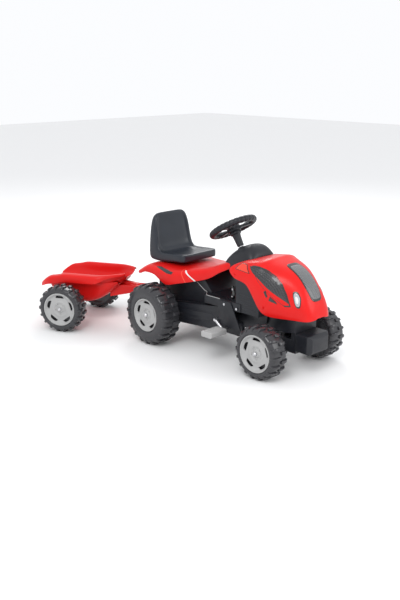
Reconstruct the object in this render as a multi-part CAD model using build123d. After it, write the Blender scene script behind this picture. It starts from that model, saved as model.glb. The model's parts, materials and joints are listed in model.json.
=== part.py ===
from build123d import *

import math
import os

# A ride-on pedal tractor with a two-wheel trailer, in millimetres. The tractor is modelled with
# X forward from the rear axle, Y to the driver's left and Z up from the ground. The whole object
# is then moved so that its origin is the centre of the base of its box.

# Wheels
WHEELBASE = 625.0
REAR_RADIUS = 136.0
REAR_WIDTH = 102.0
REAR_RIM_RADIUS = 75.0
REAR_SPAN = 506.0  # over the outer faces of the rear tyres
REAR_LUGS = 20
FRONT_RADIUS = 110.0
FRONT_WIDTH = 85.0
FRONT_RIM_RADIUS = 78.0
FRONT_SPAN = 452.0
FRONT_LUGS = 18
LUG_HEIGHT = 8.0
TYRE_WALL = 4.0
HUB_RADIUS = 15.0
AXLE_RADIUS = 6.0
STUB_RADIUS = 5.0
RUNNING = 0.05  # radial clearance of a shaft in its bore
GAP = 1.0  # clearance between pieces that only pass each other

# Chassis moulding
WALL = 4.0
CHASSIS_HALF = 95.0
CHASSIS_REAR = -78.0
CHASSIS_BOTTOM = 104.0
DECK_FRONT = 190.0
FOOT_Z = 262.0
FOOT_BREADTH = 45.0
FOOT_HALF = CHASSIS_HALF + FOOT_BREADTH
FOOT_REAR = 262.0
FOOT_FRONT = 470.0
FOOT_SKIRT = 34.0
TOWER_REAR = 400.0
NOSE_REACH = 75.0  # from the front axle to the chassis nose
TOWER_FRONT = WHEELBASE + NOSE_REACH
TOWER_HALF = 82.0
TOWER_TOP = 372.0
TOWER_BOTTOM = 176.0
CHEEK_REAR = 440.0
CHEEK_FRONT = 566.0
NOSE_HALF = 62.0
NOSE_TOP = 146.0
NOSE_BOTTOM = 90.0

# Drive
CRANK_X = 341.0
CRANK_Z = 172.0
CRANK_LENGTH = 55.0
CRANK_ANGLE = -38.0
CRANK_RADIUS = 6.0
CRANK_PIN_RADIUS = 5.0
BUSH_WALL = 3.0
CHAIN_SPACE = 21.0  # from the chassis wall to the chain
CHAIN_Y = -CHASSIS_HALF - CHAIN_SPACE
CHAIN_PITCH = 12.7
CHAIN_WIDTH = 8.0
CHAINRING_TEETH = 20
SPROCKET_TEETH = 14
SPROCKET_THICKNESS = 3.0
CASE_MARGIN = 9.0
CASE_WALL = 3.0
CASE_DEPTH = 37.0
CASE_OUTER = -CHASSIS_HALF - CASE_DEPTH
PLATE_THICKNESS = 5.0
PEDAL_LENGTH = 88.0
PEDAL_WIDTH = 60.0
PEDAL_HEIGHT = 25.0

# Steering
WHEEL_CENTRE = (290.8, 537.1)
COLUMN_TILT = 32.0
COLUMN_RADIUS = 7.0
COLUMN_LENGTH = 410.0
UPPER_BEARING = 98.0  # from the wheel's centre
STEERING_RADIUS = 93.0
GRIP_RADIUS = 13.0
HORN_TRAVEL = 3.0
HORN_RADIUS = 17.0
KINGPIN_Y = 122.0
KINGPIN_RADIUS = 5.0
KNUCKLE_RADIUS = 12.0
KNUCKLE_ARM = 75.0
DROP_ARM = 46.0
PIVOT_RADIUS = 4.0
PIVOT_PLAY = 1.5
STEER_LIMIT = 40.0
KNUCKLE_LIMIT = 23.0
LINK_Z = 158.0
LINK_RADIUS = 4.0
BEAM_HEIGHT = 28.0
BEAM_DEPTH = 26.0

# Bodywork
SKIN = 3.5
HOOD_HALF = 140.0
HOOD_FRONT_HALF = 72.0
HOOD_BASE = 235.0
HOOD_TOP = 456.0
HOOD_CORNER = 58.0
HOOD_OPEN = 462.0  # where the hood's roof begins
PANEL_DEPTH = 2.0
GRILLE_HALF = 30.0
GRILLE_TOP = 432.0
GRILLE_BOTTOM = 300.0
GRILLE_REAR = WHEELBASE - 18.0
DASH_HALF = 84.0
DASH_FRONT = 502.0
FIT = 0.4  # gap between two mouldings that meet
SADDLE_TOP = 345.0
SADDLE_HALF = 168.0
SADDLE_NOSE_HALF = 98.0
SEAT_WIDTH = 220.0
SEAT_FRONT = 87.0
SEAT_REAR = -134.0
SEAT_Z = 396.0
SEAT_BACK_TOP = 558.0
SEAT_WALL = 4.0
WEIGHT_HALF = 60.0
WEIGHT_LENGTH = 74.0
WEIGHT_HEIGHT = 66.0

# Trailer
HITCH_X = -130.0
HITCH_Z = 176.0
HITCH_THICKNESS = 6.0
DRAWBAR = 443.0
DRAWBAR_HALF = 22.0
DRAWBAR_THICKNESS = 14.0
TRAILER_YAW = 28.0
TRAILER_SPAN = 500.0
TUB_HALF = 112.0
TUB_TOP = 250.0
TUB_BOTTOM = 142.0
TUB_REAR = -110.0
TUB_FRONT = 205.0
FLANGE_WIDTH = 34.0
FLANGE_DROP = 30.0
PIN_RADIUS = 5.0

DECK_Z = SADDLE_TOP - SKIN
TILT = math.radians(COLUMN_TILT)
COLUMN_DOWN = Vector(math.sin(TILT), 0, -math.cos(TILT))
COLUMN_BACK = Vector(-math.cos(TILT), 0, -math.sin(TILT))
COLUMN_TOP = Vector(WHEEL_CENTRE[0], 0, WHEEL_CENTRE[1])


def face_xz(points):
    """A closed outline of straight sides in the XZ plane."""
    return make_face(Polyline(*[(x, 0, z) for x, z in points], close=True))


def face_xy(points):
    """A closed outline of straight sides in the XY plane."""
    return make_face(Polyline(*[(x, y, 0) for x, y in points], close=True))


def face_yz(points):
    """A closed outline of straight sides in the YZ plane."""
    return make_face(Polyline(*[(0, y, z) for y, z in points], close=True))


def slab_y(face, low, high):
    """An XZ outline as a solid between two Y values."""
    return Pos(0, low, 0) * extrude(face, amount=high - low, dir=(0, 1, 0))


def slab_z(face, low, high):
    """An XY outline as a solid between two Z values."""
    return Pos(0, 0, low) * extrude(face, amount=high - low, dir=(0, 0, 1))


def slab_x(face, low, high):
    """A YZ outline as a solid between two X values."""
    return Pos(low, 0, 0) * extrude(face, amount=high - low, dir=(1, 0, 0))


def block(low, high):
    """A box between two corners."""
    size = [b - a for a, b in zip(low, high)]
    centre = [(a + b) / 2 for a, b in zip(low, high)]
    return Pos(*centre) * Box(*size)


def rod(start, end, radius):
    """A round bar between two points."""
    start, end = Vector(*start), Vector(*end)
    along = end - start
    return Plane(origin=start, z_dir=along) * Cylinder(
        radius, along.length, align=(Align.CENTER, Align.CENTER, Align.MIN)
    )


def rod_y(x, z, low, high, radius):
    """A round bar along Y."""
    return rod((x, low, z), (x, high, z), radius)


def both_sides(shape):
    """The shape and its mirror image about the tractor's middle plane."""
    return shape + mirror(shape, about=Plane.XZ)


def mirrored(points):
    """An outline's half, given from +Y, with its mirror half added."""
    return points + [(x, -y) for x, y in reversed(points)]


# ---------------------------------------------------------------- wheels


def turned(points):
    """A ring turned about Z from (radius, height) points."""
    return revolve(face_xz(points), axis=Axis.Z)


def tyre(radius, width, rim_radius, lugs, bore):
    """A blow-moulded hollow wheel with two staggered rows of lugs; its outer face looks along +Z."""
    half = width / 2
    tread = radius - LUG_HEIGHT
    web = half - 26.0
    back = 10.0
    outer = turned(
        [
            (bore, -half + 4),
            (HUB_RADIUS, -half + 4),
            (HUB_RADIUS, -half + back),
            (rim_radius - 4, -half + back),
            (rim_radius + 4, -half),
            (tread - 12, -half),
            (tread - 3, -half + 5),
            (tread, -half + 14),
            (tread, half - 14),
            (tread - 3, half - 5),
            (tread - 12, half),
            (rim_radius + 4, half),
            (rim_radius, half - 5),
            (rim_radius, web),
            (HUB_RADIUS, web),
            (HUB_RADIUS, web + 6),
            (bore, web + 6),
        ]
    )
    cavity = turned(
        [
            (HUB_RADIUS, -half + back + TYRE_WALL),
            (rim_radius, -half + back + TYRE_WALL),
            (rim_radius + 6, -half + TYRE_WALL),
            (tread - 14, -half + TYRE_WALL),
            (tread - TYRE_WALL, -half + 16),
            (tread - TYRE_WALL, half - 16),
            (tread - 14, half - TYRE_WALL),
            (rim_radius + 7, half - TYRE_WALL),
            (rim_radius + TYRE_WALL, half - 8),
            (rim_radius + TYRE_WALL, web - TYRE_WALL),
            (HUB_RADIUS, web - TYRE_WALL),
        ]
    )
    thickness = 0.36 * 2 * math.pi * radius / lugs
    bar = slab_z(
        face_xy(
            [
                (tread - 6, -thickness / 2),
                (radius - 1, -thickness / 2 + 1),
                (radius, -thickness / 2 + 2.5),
                (radius, thickness / 2 - 2.5),
                (radius - 1, thickness / 2 - 1),
                (tread - 6, thickness / 2),
            ]
        ),
        1.5,
        half - 2,
    )
    corner = slab_y(
        face_xz([(radius - 14, half), (radius + 5, half), (radius + 5, half - 15)]), -40, 40
    )
    bar = bar - corner
    step = 360.0 / lugs
    bars = []
    for i in range(lugs):
        bars.append(Rot(0, 0, i * step) * bar)
        bars.append(Rot(0, 0, (i + 0.5) * step) * mirror(bar, about=Plane.XY))
    rib = turned(
        [(tread - 2, -1.5), (radius - 2.5, -1.5), (radius - 2.5, 1.5), (tread - 2, 1.5)]
    )
    shape = outer + rib
    shape = shape.fuse(*[b - cavity for b in bars])
    return shape - cavity


def rim(width, rim_radius, bore):
    """The dished wheel cover with five slots and a raised hub; its outer face looks along +Z."""
    top = width / 2 - 1.0
    floor = top - 16.0
    hub = 0.44 * rim_radius
    edge = rim_radius - 0.5
    dish = turned(
        [
            (bore, floor - 3),
            (hub + 4, floor - 3),
            (edge - 16, floor),
            (edge - 5, top - 8),
            (edge - 3, top - 10),
            (edge, top - 10),
            (edge, top - 2),
            (edge - 2, top),
            (edge - 5, top),
            (edge - 7, top - 3),
            (edge - 15, floor + 4.5),
            (hub + 6, floor + 3),
            (hub + 1, floor + 5),
            (hub - 3, floor + 5),
            (hub - 8, floor + 1),
            (0.24 * rim_radius, floor + 1),
            (0.2 * rim_radius, floor + 6),
            (bore, floor + 6),
        ]
    )
    slot = Pos(0.76 * rim_radius, 0, 0) * Box(6.5, 0.4 * rim_radius, width)
    for i in range(5):
        dish -= Rot(0, 0, 72 * i + 18) * slot
    return dish


def axle_cap(radius):
    """A pressed cap for an axle's end, with its open side towards -Z."""
    return turned(
        [
            (0, 2.2),
            (radius, 2.2),
            (radius, -6),
            (radius + 3, -6),
            (radius + 3, 1),
            (radius, 4.5),
            (0, 5.5),
        ]
    )


def wheel_place(x, y, z, side):
    """Where a wheel goes that was made with its outer face along +Z. side is 1 on the left."""
    return Pos(x, y, z) * Rot(-90 * side, 0, 0)


REAR_Y = (REAR_SPAN - REAR_WIDTH) / 2
FRONT_Y = (FRONT_SPAN - FRONT_WIDTH) / 2
TRAILER_Y = (TRAILER_SPAN - FRONT_WIDTH) / 2
REAR_BORE = AXLE_RADIUS + RUNNING
FRONT_BORE = STUB_RADIUS + RUNNING


# ---------------------------------------------------------------- chassis


def chassis_forms(inset):
    """The chassis moulding's outer forms, or its hollows when inset is a wall's thickness."""
    drop = 60.0 if inset else 0.0
    half = CHASSIS_HALF - inset
    box = slab_y(
        face_xz(
            [
                (CHASSIS_REAR + inset, CHASSIS_BOTTOM - drop),
                (CHEEK_REAR - inset, CHASSIS_BOTTOM - drop),
                (CHEEK_REAR - inset, FOOT_Z - inset),
                (FOOT_REAR - 0.5 * inset, FOOT_Z - inset),
                (DECK_FRONT - 0.5 * inset, DECK_Z - inset),
                (CHASSIS_REAR + inset, DECK_Z - inset),
            ]
        ),
        -half,
        half,
    )
    wing = slab_z(
        face_xy(
            mirrored(
                [
                    (FOOT_REAR - 40 + inset, FOOT_HALF - 40 - inset),
                    (FOOT_REAR + inset, FOOT_HALF - inset),
                    (FOOT_FRONT - inset, FOOT_HALF - inset),
                ]
            )
        ),
        FOOT_Z - FOOT_SKIRT - drop,
        FOOT_Z - inset,
    )
    roof = slab_y(
        face_xz(
            [
                (TOWER_REAR + inset, TOWER_BOTTOM - drop),
                (TOWER_FRONT - inset, TOWER_BOTTOM - drop),
                (TOWER_FRONT - inset, TOWER_BOTTOM + 110 - inset),
                (TOWER_FRONT - 60, TOWER_TOP - 20 - inset),
                (TOWER_REAR + 100, TOWER_TOP - inset),
                (TOWER_REAR + inset, TOWER_TOP - inset),
            ]
        ),
        -TOWER_HALF + inset,
        TOWER_HALF - inset,
    )
    roof &= slab_z(
        face_xy(
            mirrored(
                [
                    (TOWER_REAR - 10, TOWER_HALF + 10 - inset),
                    (TOWER_FRONT - 55, TOWER_HALF + 10 - inset),
                    (TOWER_FRONT + 10, TOWER_HALF - 22 - inset),
                ]
            )
        ),
        0,
        500,
    )
    cheek_half = HOOD_HALF - SKIN - inset
    cheeks = slab_y(
        face_xz(
            [
                (CHEEK_REAR + inset, FOOT_Z - FOOT_SKIRT - drop),
                (CHEEK_FRONT - inset, FOOT_Z - FOOT_SKIRT - drop),
                (CHEEK_FRONT - inset, TOWER_TOP - 40 - inset),
                (CHEEK_REAR + 50, TOWER_TOP - inset),
                (CHEEK_REAR + inset, TOWER_TOP - inset),
            ]
        ),
        -cheek_half,
        cheek_half,
    )
    nose = block(
        (CHEEK_REAR - 20, -NOSE_HALF + inset, NOSE_BOTTOM - drop),
        (TOWER_FRONT - inset, NOSE_HALF - inset, NOSE_TOP - inset),
    )
    return box, wing, roof, cheeks, nose


def chassis_tub():
    """The one-piece main moulding, open below, with its bores and windows."""
    forms = chassis_forms(0.0)
    hollows = chassis_forms(WALL)
    shape = forms[0] + forms[1] + forms[2] + forms[3] + forms[4]
    post = block(
        (TOWER_FRONT - 24, -NOSE_HALF, NOSE_BOTTOM), (TOWER_FRONT, NOSE_HALF, TOWER_BOTTOM + 12)
    )
    shape += post
    for hollow in hollows:
        shape -= hollow
    # The hollows are cut past the nose, so its wall and the front post are put back.
    nose = forms[4] - hollows[4]
    inside_post = block(
        (TOWER_FRONT - 24 + WALL, -NOSE_HALF + WALL, 0),
        (TOWER_FRONT - WALL, NOSE_HALF - WALL, TOWER_BOTTOM + 12),
    )
    shape += nose - block((0, -200, 0), (CHEEK_REAR - WALL, 200, 400))
    shape += post - inside_post - hollows[4]
    # The rear axle's and the crank's bushes sit in thick bosses on both walls.
    for x, z, radius in ((0, REAR_RADIUS, AXLE_RADIUS), (CRANK_X, CRANK_Z, CRANK_RADIUS)):
        bore = radius + RUNNING + BUSH_WALL
        boss = rod_y(x, z, CHASSIS_HALF - 14, CHASSIS_HALF - 1, bore + 8)
        shape += both_sides(boss)
        shape -= rod_y(x, z, -CHASSIS_HALF - 50, CHASSIS_HALF + 50, bore)
    shape -= column_rod(150, 240, COLUMN_RADIUS + RUNNING + BUSH_WALL)
    return shape


def column_rod(start, end, radius):
    """A round bar on the steering column's axis, between two distances from the wheel's centre."""
    return rod(COLUMN_TOP + COLUMN_DOWN * start, COLUMN_TOP + COLUMN_DOWN * end, radius)


def column_ring(start, end, inner, outer):
    """A tube on the steering column's axis."""
    return column_rod(start, end, outer) - column_rod(start - 1, end + 1, inner)


def ring_y(x, z, low, high, inner, outer):
    """A tube along Y."""
    return rod_y(x, z, low, high, outer) - rod_y(x, z, low - 1, high + 1, inner)


def axle_bushes(x, z, shaft):
    """A pair of flanged plain bearings in the chassis walls."""
    inner = shaft + RUNNING
    outer = inner + BUSH_WALL
    bush = ring_y(x, z, CHASSIS_HALF - 14, CHASSIS_HALF, inner, outer)
    bush += ring_y(x, z, CHASSIS_HALF, CHASSIS_HALF + 2, inner, outer + 3)
    return both_sides(bush).solids()


LOWER_BEARING = (TOWER_TOP - WHEEL_CENTRE[1]) / COLUMN_DOWN.Z


def column_bush():
    """The steering column's lower bearing, in the roof of the tower."""
    inner = COLUMN_RADIUS + RUNNING
    tube = column_ring(LOWER_BEARING - 8, LOWER_BEARING + 22, inner, inner + BUSH_WALL)
    return tube


# ---------------------------------------------------------------- bodywork


def from_axle(points):
    """Points whose first number is given from the front axle."""
    return [(WHEELBASE + x, other) for x, other in points]


def hood_side(inset):
    """The hood's outline from the side, made smaller by inset."""
    rear = [(459, HOOD_TOP - 15), (403, 405), (428, 366), (496, 356), (530, 316)]
    front = from_axle(
        [
            (-55, 258),
            (-21, 242),
            (34, HOOD_BASE),
            (125, HOOD_BASE),
            (145, 243),
            (147, 256),
            (143, 274),
            (135, 292),
            (121, 320),
            (104, 350),
            (83, 380),
            (57, 404),
            (25, 422),
            (-15, 435),
            (-55, 448),
            (-69, HOOD_TOP),
        ]
    )
    outline = face_xz(rear + front)
    return offset(outline, -inset) if inset else outline


def hood_plan(inset):
    """The hood's outline from above."""
    return face_xy(
        mirrored(
            [(380, HOOD_HALF - inset)]
            + from_axle(
                [
                    (-32, HOOD_HALF - inset),
                    (15, HOOD_HALF - 23 - inset),
                    (46, HOOD_HALF - 42 - inset),
                    (115, HOOD_FRONT_HALF - inset),
                    (141 - inset, 32 - inset),
                    (147 - inset, 10),
                ]
            )
        )
    )


def hood_section(inset):
    """The hood's rounded outline from the front."""
    height = 400.0
    return Plane.YZ * Pos(0, HOOD_TOP - inset - height / 2) * RectangleRounded(
        2 * (HOOD_HALF - inset), height, HOOD_CORNER - inset
    )


def hood_form(inset):
    """The hood as a solid lump."""
    width = 2 * HOOD_HALF
    shape = slab_y(hood_side(inset), -width, width)
    shape &= slab_z(hood_plan(inset), 100, 600)
    return shape & slab_x(hood_section(inset), 300, 900)


def panel_on_hood(face, depth):
    """A thin plate on both of the hood's sides, following them. face is its XZ outline."""
    skin = hood_form(-depth) - hood_form(0.0)
    plate = skin & slab_y(face, 0, 2 * HOOD_HALF)
    return both_sides(plate)


def hood_shell():
    """The engine hood: a skin open below and behind, cut out around the dashboard cover."""
    shape = hood_form(0.0) - hood_form(SKIN)
    shape -= block((300, -HOOD_HALF + SKIN, 200), (HOOD_OPEN, HOOD_HALF - SKIN, HOOD_TOP - SKIN))
    floor = Pos(0, 0, -4 * SKIN) * hood_form(SKIN)
    shape -= floor & block((300, -300, 0), (TOWER_FRONT + 20, 300, 500))
    return shape - dash_form(-FIT)


SIDE_WINDOW = from_axle(
    [(-120, 426), (-63, 430), (15, 405), (47, 377), (66, 292), (-19, 297), (-36, 331), (-109, 389)]
)
UPPER_VENT = from_axle([(-168, 428), (-130, 428), (-119, 402), (-188, 405)])
HEADLAMP = from_axle([(68, 351), (88, 350), (113, 322), (111, 290), (85, 288)])


def grille_form(depth, margin):
    """The grille's plate over the hood's sloping front, margin wider all round."""
    skin = hood_form(-depth) - hood_form(0.0)
    half = GRILLE_HALF + margin
    band = Plane.YZ * Pos(0, (GRILLE_TOP + GRILLE_BOTTOM) / 2) * RectangleRounded(
        2 * half, GRILLE_TOP - GRILLE_BOTTOM + 2 * margin, half - 2
    )
    return skin & slab_x(band, GRILLE_REAR - margin, 900)


def grille_panel():
    """The mesh panel in the middle of the nose."""
    return grille_form(PANEL_DEPTH, 0.0)


def grille_frame():
    """The raised frame around the mesh panel."""
    return grille_form(PANEL_DEPTH + 1.5, 5.0) - slab_x(
        Plane.YZ * Pos(0, (GRILLE_TOP + GRILLE_BOTTOM) / 2) * RectangleRounded(
            2 * GRILLE_HALF, GRILLE_TOP - GRILLE_BOTTOM, GRILLE_HALF - 2
        ),
        GRILLE_REAR,
        900,
    )


def dash_side(inset):
    """The dashboard cover's outline from the side."""
    outline = face_xz(
        [
            (300, TOWER_TOP),
            (292, 396),
            (330, 440),
            (372, 472),
            (412, 486),
            (440, 483),
            (HOOD_OPEN, 471),
            (DASH_FRONT, 456),
            (DASH_FRONT, TOWER_TOP),
        ]
    )
    return offset(outline, -inset) if inset else outline


def dash_form(inset):
    """The dashboard cover as a solid lump."""
    half = DASH_HALF - inset
    section = Plane.YZ * Pos(0, 490 - inset - 150) * RectangleRounded(2 * half, 300, half - 12)
    shape = slab_y(dash_side(inset), -200, 200)
    return shape & slab_x(section, 250, 600)


def dashboard_cover():
    """The domed cover around the steering column."""
    shape = dash_form(0.0) - dash_form(SKIN)
    shape -= block((300 + 60, -60, TOWER_TOP - 1), (460, 60, TOWER_TOP + SKIN + 1))
    shape -= column_rod(40, 140, COLUMN_RADIUS + RUNNING + BUSH_WALL)
    return shape


def saddle_form(inset):
    """The red seat base with its two half fenders as a solid lump."""
    outline = face_xz(
        [
            (-162, 287),
            (-106, 330),
            (-78, SADDLE_TOP),
            (110, SADDLE_TOP),
            (232, 368),
            (330, 408),
            (356, 412),
            (364, 385),
            (319, 366),
            (229, 313),
            (48, 267),
            (8, 281),
            (-30, 303),
            (-90, 304),
            (-140, 282),
        ]
    )
    if inset:
        outline = offset(outline, -inset)
    plan = face_xy(
        mirrored(
            [
                (-180 + inset, SADDLE_HALF - 14 - inset),
                (-110, SADDLE_HALF - inset),
                (70, SADDLE_HALF - inset),
                (250, SADDLE_NOSE_HALF - inset),
                (380 - inset, SADDLE_NOSE_HALF - 16 - inset),
            ]
        )
    )
    return slab_y(outline, -300, 300) & slab_z(plan, 200, 500)


def rear_body():
    """The seat base: a skin with its underside open over the chassis."""
    shape = saddle_form(0.0) - saddle_form(SKIN)
    under = slab_y(
        face_xz(
            [
                (CHASSIS_REAR - 0.5, 200),
                (FOOT_REAR + 60, 200),
                (DECK_FRONT + 150, 372),
                (DECK_FRONT, DECK_Z),
                (CHASSIS_REAR - 0.5, DECK_Z),
            ]
        ),
        -CHASSIS_HALF,
        CHASSIS_HALF,
    )
    return shape - under - dash_form(-FIT)


def seat_outline(inset):
    """The seat's outline from the side."""
    outline = face_xz(
        [
            (SEAT_REAR + 6, SADDLE_TOP),
            (-40, SADDLE_TOP),
            (-34, 352),
            (SEAT_FRONT - 6, SEAT_Z - 30),
            (SEAT_FRONT, SEAT_Z - 24),
            (SEAT_FRONT, SEAT_Z - 8),
            (SEAT_FRONT - 8, SEAT_Z),
            (-52, SEAT_Z - 14),
            (-76, SEAT_Z + 2),
            (-98, SEAT_BACK_TOP - 6),
            (-106, SEAT_BACK_TOP),
            (-116, SEAT_BACK_TOP - 2),
            (-122, SEAT_BACK_TOP - 14),
            (SEAT_REAR, SADDLE_TOP + 24),
        ]
    )
    return offset(outline, -inset) if inset else outline


def seat_form(inset):
    """The seat as a solid lump, rounded from above and from the front."""
    half = SEAT_WIDTH / 2 - inset
    plan = Pos((SEAT_FRONT + SEAT_REAR) / 2, 0) * RectangleRounded(
        SEAT_FRONT - SEAT_REAR - 2 * inset, 2 * half, 22 - inset
    )
    front = face_yz(
        [
            (-half, 300),
            (half, 300),
            (half, SEAT_Z + 20),
            (half - 16, SEAT_BACK_TOP - 24),
            (half - 34, SEAT_BACK_TOP - inset),
            (-half + 34, SEAT_BACK_TOP - inset),
            (-half + 16, SEAT_BACK_TOP - 24),
            (-half, SEAT_Z + 20),
        ]
    )
    shape = slab_y(seat_outline(inset), -200, 200) & slab_z(plan, 300, 600)
    return shape & slab_x(front, -300, 300)


def seat():
    """The blow-moulded seat, hollow inside."""
    return seat_form(0.0) - seat_form(SEAT_WALL)


def front_weight():
    """The hollow ballast block on the chassis nose."""
    low = NOSE_TOP + 20 - WEIGHT_HEIGHT
    outer = slab_y(
        face_xz(
            [
                (TOWER_FRONT, low + 2),
                (TOWER_FRONT + WEIGHT_LENGTH - 4, low),
                (TOWER_FRONT + WEIGHT_LENGTH, low + 10),
                (TOWER_FRONT + WEIGHT_LENGTH, low + WEIGHT_HEIGHT - 10),
                (TOWER_FRONT + WEIGHT_LENGTH - 14, low + WEIGHT_HEIGHT),
                (TOWER_FRONT, low + WEIGHT_HEIGHT),
            ]
        ),
        -WEIGHT_HALF,
        WEIGHT_HALF,
    )
    corners = slab_z(
        face_xy(
            mirrored(
                [
                    (TOWER_FRONT, WEIGHT_HALF),
                    (TOWER_FRONT + WEIGHT_LENGTH - 16, WEIGHT_HALF),
                    (TOWER_FRONT + WEIGHT_LENGTH, WEIGHT_HALF - 14),
                ]
            )
        ),
        0,
        300,
    )
    outer &= corners
    inner = block(
        (TOWER_FRONT + WALL, -WEIGHT_HALF + WALL + 10, low + WALL + 6),
        (TOWER_FRONT + WEIGHT_LENGTH - 16, WEIGHT_HALF - WALL - 10, low + WEIGHT_HEIGHT - WALL - 6),
    )
    return outer - inner


# ---------------------------------------------------------------- fasteners


def screw_head(point, direction, radius, height):
    """A domed screw head standing on a surface."""
    point, direction = Vector(*point), Vector(*direction)
    low = rod(point, point + direction * (0.6 * height), radius)
    return low + rod(point + direction * (0.6 * height), point + direction * height, 0.7 * radius)


def hood_screws():
    """Two screws in each of the hood's sides."""
    heads = []
    for x, z in ((432, 381), (WHEELBASE - 37, 274)):
        for side in (1, -1):
            heads.append(screw_head((x, side * HOOD_HALF, z), (0, side, 0), 5.0, 2.5))
    return heads


def bracket_bolts():
    """The bolts that hold the crank's side plates to the footrests."""
    heads = []
    for x, z in ((382, 246), (452, 240)):
        for side in (1, -1):
            y = side * (FOOT_HALF + PLATE_THICKNESS)
            heads.append(screw_head((x, y, z), (0, side, 0), 5.0, 2.2))
    return heads


# ---------------------------------------------------------------- drive


def crank_bracket(side):
    """The plate that hangs from a footrest and guards the crank."""
    outline = face_xz([(356, FOOT_Z - 4), (418, FOOT_Z - 2), (476, 152), (322, 152)])
    plate = slab_y(outline, FOOT_HALF, FOOT_HALF + PLATE_THICKNESS)
    hole = CRANK_RADIUS + RUNNING
    plate -= rod_y(CRANK_X, CRANK_Z, 0, 300, hole)
    return plate if side > 0 else mirror(plate, about=Plane.XZ)


CRANK_ARM_Y = FOOT_HALF + PLATE_THICKNESS + 3.0 + CRANK_RADIUS
PEDAL_Y = CRANK_ARM_Y + CRANK_RADIUS + 2.0


def crank_end(side):
    """The crank pin's place on one side. The two sides are half a turn apart."""
    angle = math.radians(CRANK_ANGLE) + (0 if side < 0 else math.pi)
    return (
        CRANK_X + CRANK_LENGTH * math.cos(angle),
        CRANK_Z + CRANK_LENGTH * math.sin(angle),
    )


def crank_shaft():
    """The bent steel crank with its two arms and pedal pins."""
    shape = rod_y(CRANK_X, CRANK_Z, -CRANK_ARM_Y - CRANK_RADIUS, CRANK_ARM_Y + CRANK_RADIUS, CRANK_RADIUS)
    for side in (1, -1):
        x, z = crank_end(side)
        y = side * CRANK_ARM_Y
        shape += rod((CRANK_X, y, CRANK_Z), (x, y, z), CRANK_RADIUS - 0.5)
        shape += Pos(x, y, z) * Sphere(CRANK_RADIUS)
        pin_end = side * (PEDAL_Y + PEDAL_LENGTH - 8)
        shape += rod((x, y, z), (x, pin_end, z), CRANK_PIN_RADIUS)
    return shape


def pedal(side):
    """A moulded pedal block that turns on its pin, with grip ribs on both faces."""
    x, z = crank_end(side)
    body = Plane.XZ * RectangleRounded(PEDAL_WIDTH, PEDAL_HEIGHT, 7)
    shape = Pos(0, PEDAL_Y, 0) * extrude(body, amount=PEDAL_LENGTH, dir=(0, 1, 0))
    for i in range(4):
        y = PEDAL_Y + 14 + 18 * i
        for low in (PEDAL_HEIGHT / 2, -PEDAL_HEIGHT / 2 - 1.5):
            shape += block((-20, y, low), (20, y + 6, low + 1.5))
    shape -= rod_y(0, 0, PEDAL_Y - 1, PEDAL_Y + PEDAL_LENGTH - 6, CRANK_PIN_RADIUS + RUNNING)
    if side < 0:
        shape = mirror(shape, about=Plane.XZ)
    return Pos(x, 0, z) * shape


def pitch_radius(teeth):
    """A chain sprocket's pitch radius."""
    return CHAIN_PITCH / (2 * math.sin(math.pi / teeth))


def sprocket(x, z, teeth, bore):
    """A toothed disc in the chain's plane, pressed on its shaft."""
    radius = pitch_radius(teeth)
    low, high = CHAIN_Y - SPROCKET_THICKNESS / 2, CHAIN_Y + SPROCKET_THICKNESS / 2
    disc = rod_y(x, z, low, high, radius - 4.5)
    for i in range(teeth):
        a = 2 * math.pi * i / teeth
        cx, cz = x + (radius - 3) * math.cos(a), z + (radius - 3) * math.sin(a)
        tooth = Pos(cx, CHAIN_Y, cz) * Rot(0, -math.degrees(a), 0) * Box(7, SPROCKET_THICKNESS, 4)
        disc += tooth
    disc += rod_y(x, z, CHAIN_Y - 7, CHAIN_Y + 7, bore + 7)
    return disc - rod_y(x, z, -300, 0, bore)


def chain_band(inner_extra, outer_extra, low, high):
    """A band around both sprockets between two distances from the pitch line."""
    centres = [
        (0.0, REAR_RADIUS, pitch_radius(SPROCKET_TEETH)),
        (CRANK_X, CRANK_Z, pitch_radius(CHAINRING_TEETH)),
    ]

    def loop(extra):
        circles = [Pos(x, z) * Circle(radius + extra) for x, z, radius in centres]
        return make_hull((circles[0] + circles[1]).edges())

    face = loop(outer_extra)
    if inner_extra is not None:
        face = face - loop(inner_extra)
    # The sketch's own Y is the model's Z.
    return Pos(0, high, 0) * extrude(Plane.XZ * face, amount=high - low, dir=(0, -1, 0))


def chain():
    """The roller chain as a plain band that stays clear of both sprockets' teeth."""
    half = CHAIN_WIDTH / 2
    return chain_band(1.2, 4.2, CHAIN_Y - half, CHAIN_Y + half)


def chain_case():
    """The cover over the chain on the tractor's right side."""
    outer = chain_band(None, CASE_MARGIN + CASE_WALL, CASE_OUTER, -CHASSIS_HALF)
    inner = chain_band(None, CASE_MARGIN, CASE_OUTER + CASE_WALL, -CHASSIS_HALF + 1)
    shape = outer - inner
    for x, z, shaft in ((0, REAR_RADIUS, AXLE_RADIUS), (CRANK_X, CRANK_Z, CRANK_RADIUS)):
        shape -= rod_y(x, z, -300, 0, shaft + GAP)
    return shape


def rear_axle():
    """The live rear axle."""
    end = REAR_Y + REAR_WIDTH / 2 - 5
    return rod_y(0, REAR_RADIUS, -end, end, AXLE_RADIUS)


# ---------------------------------------------------------------- steering


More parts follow.
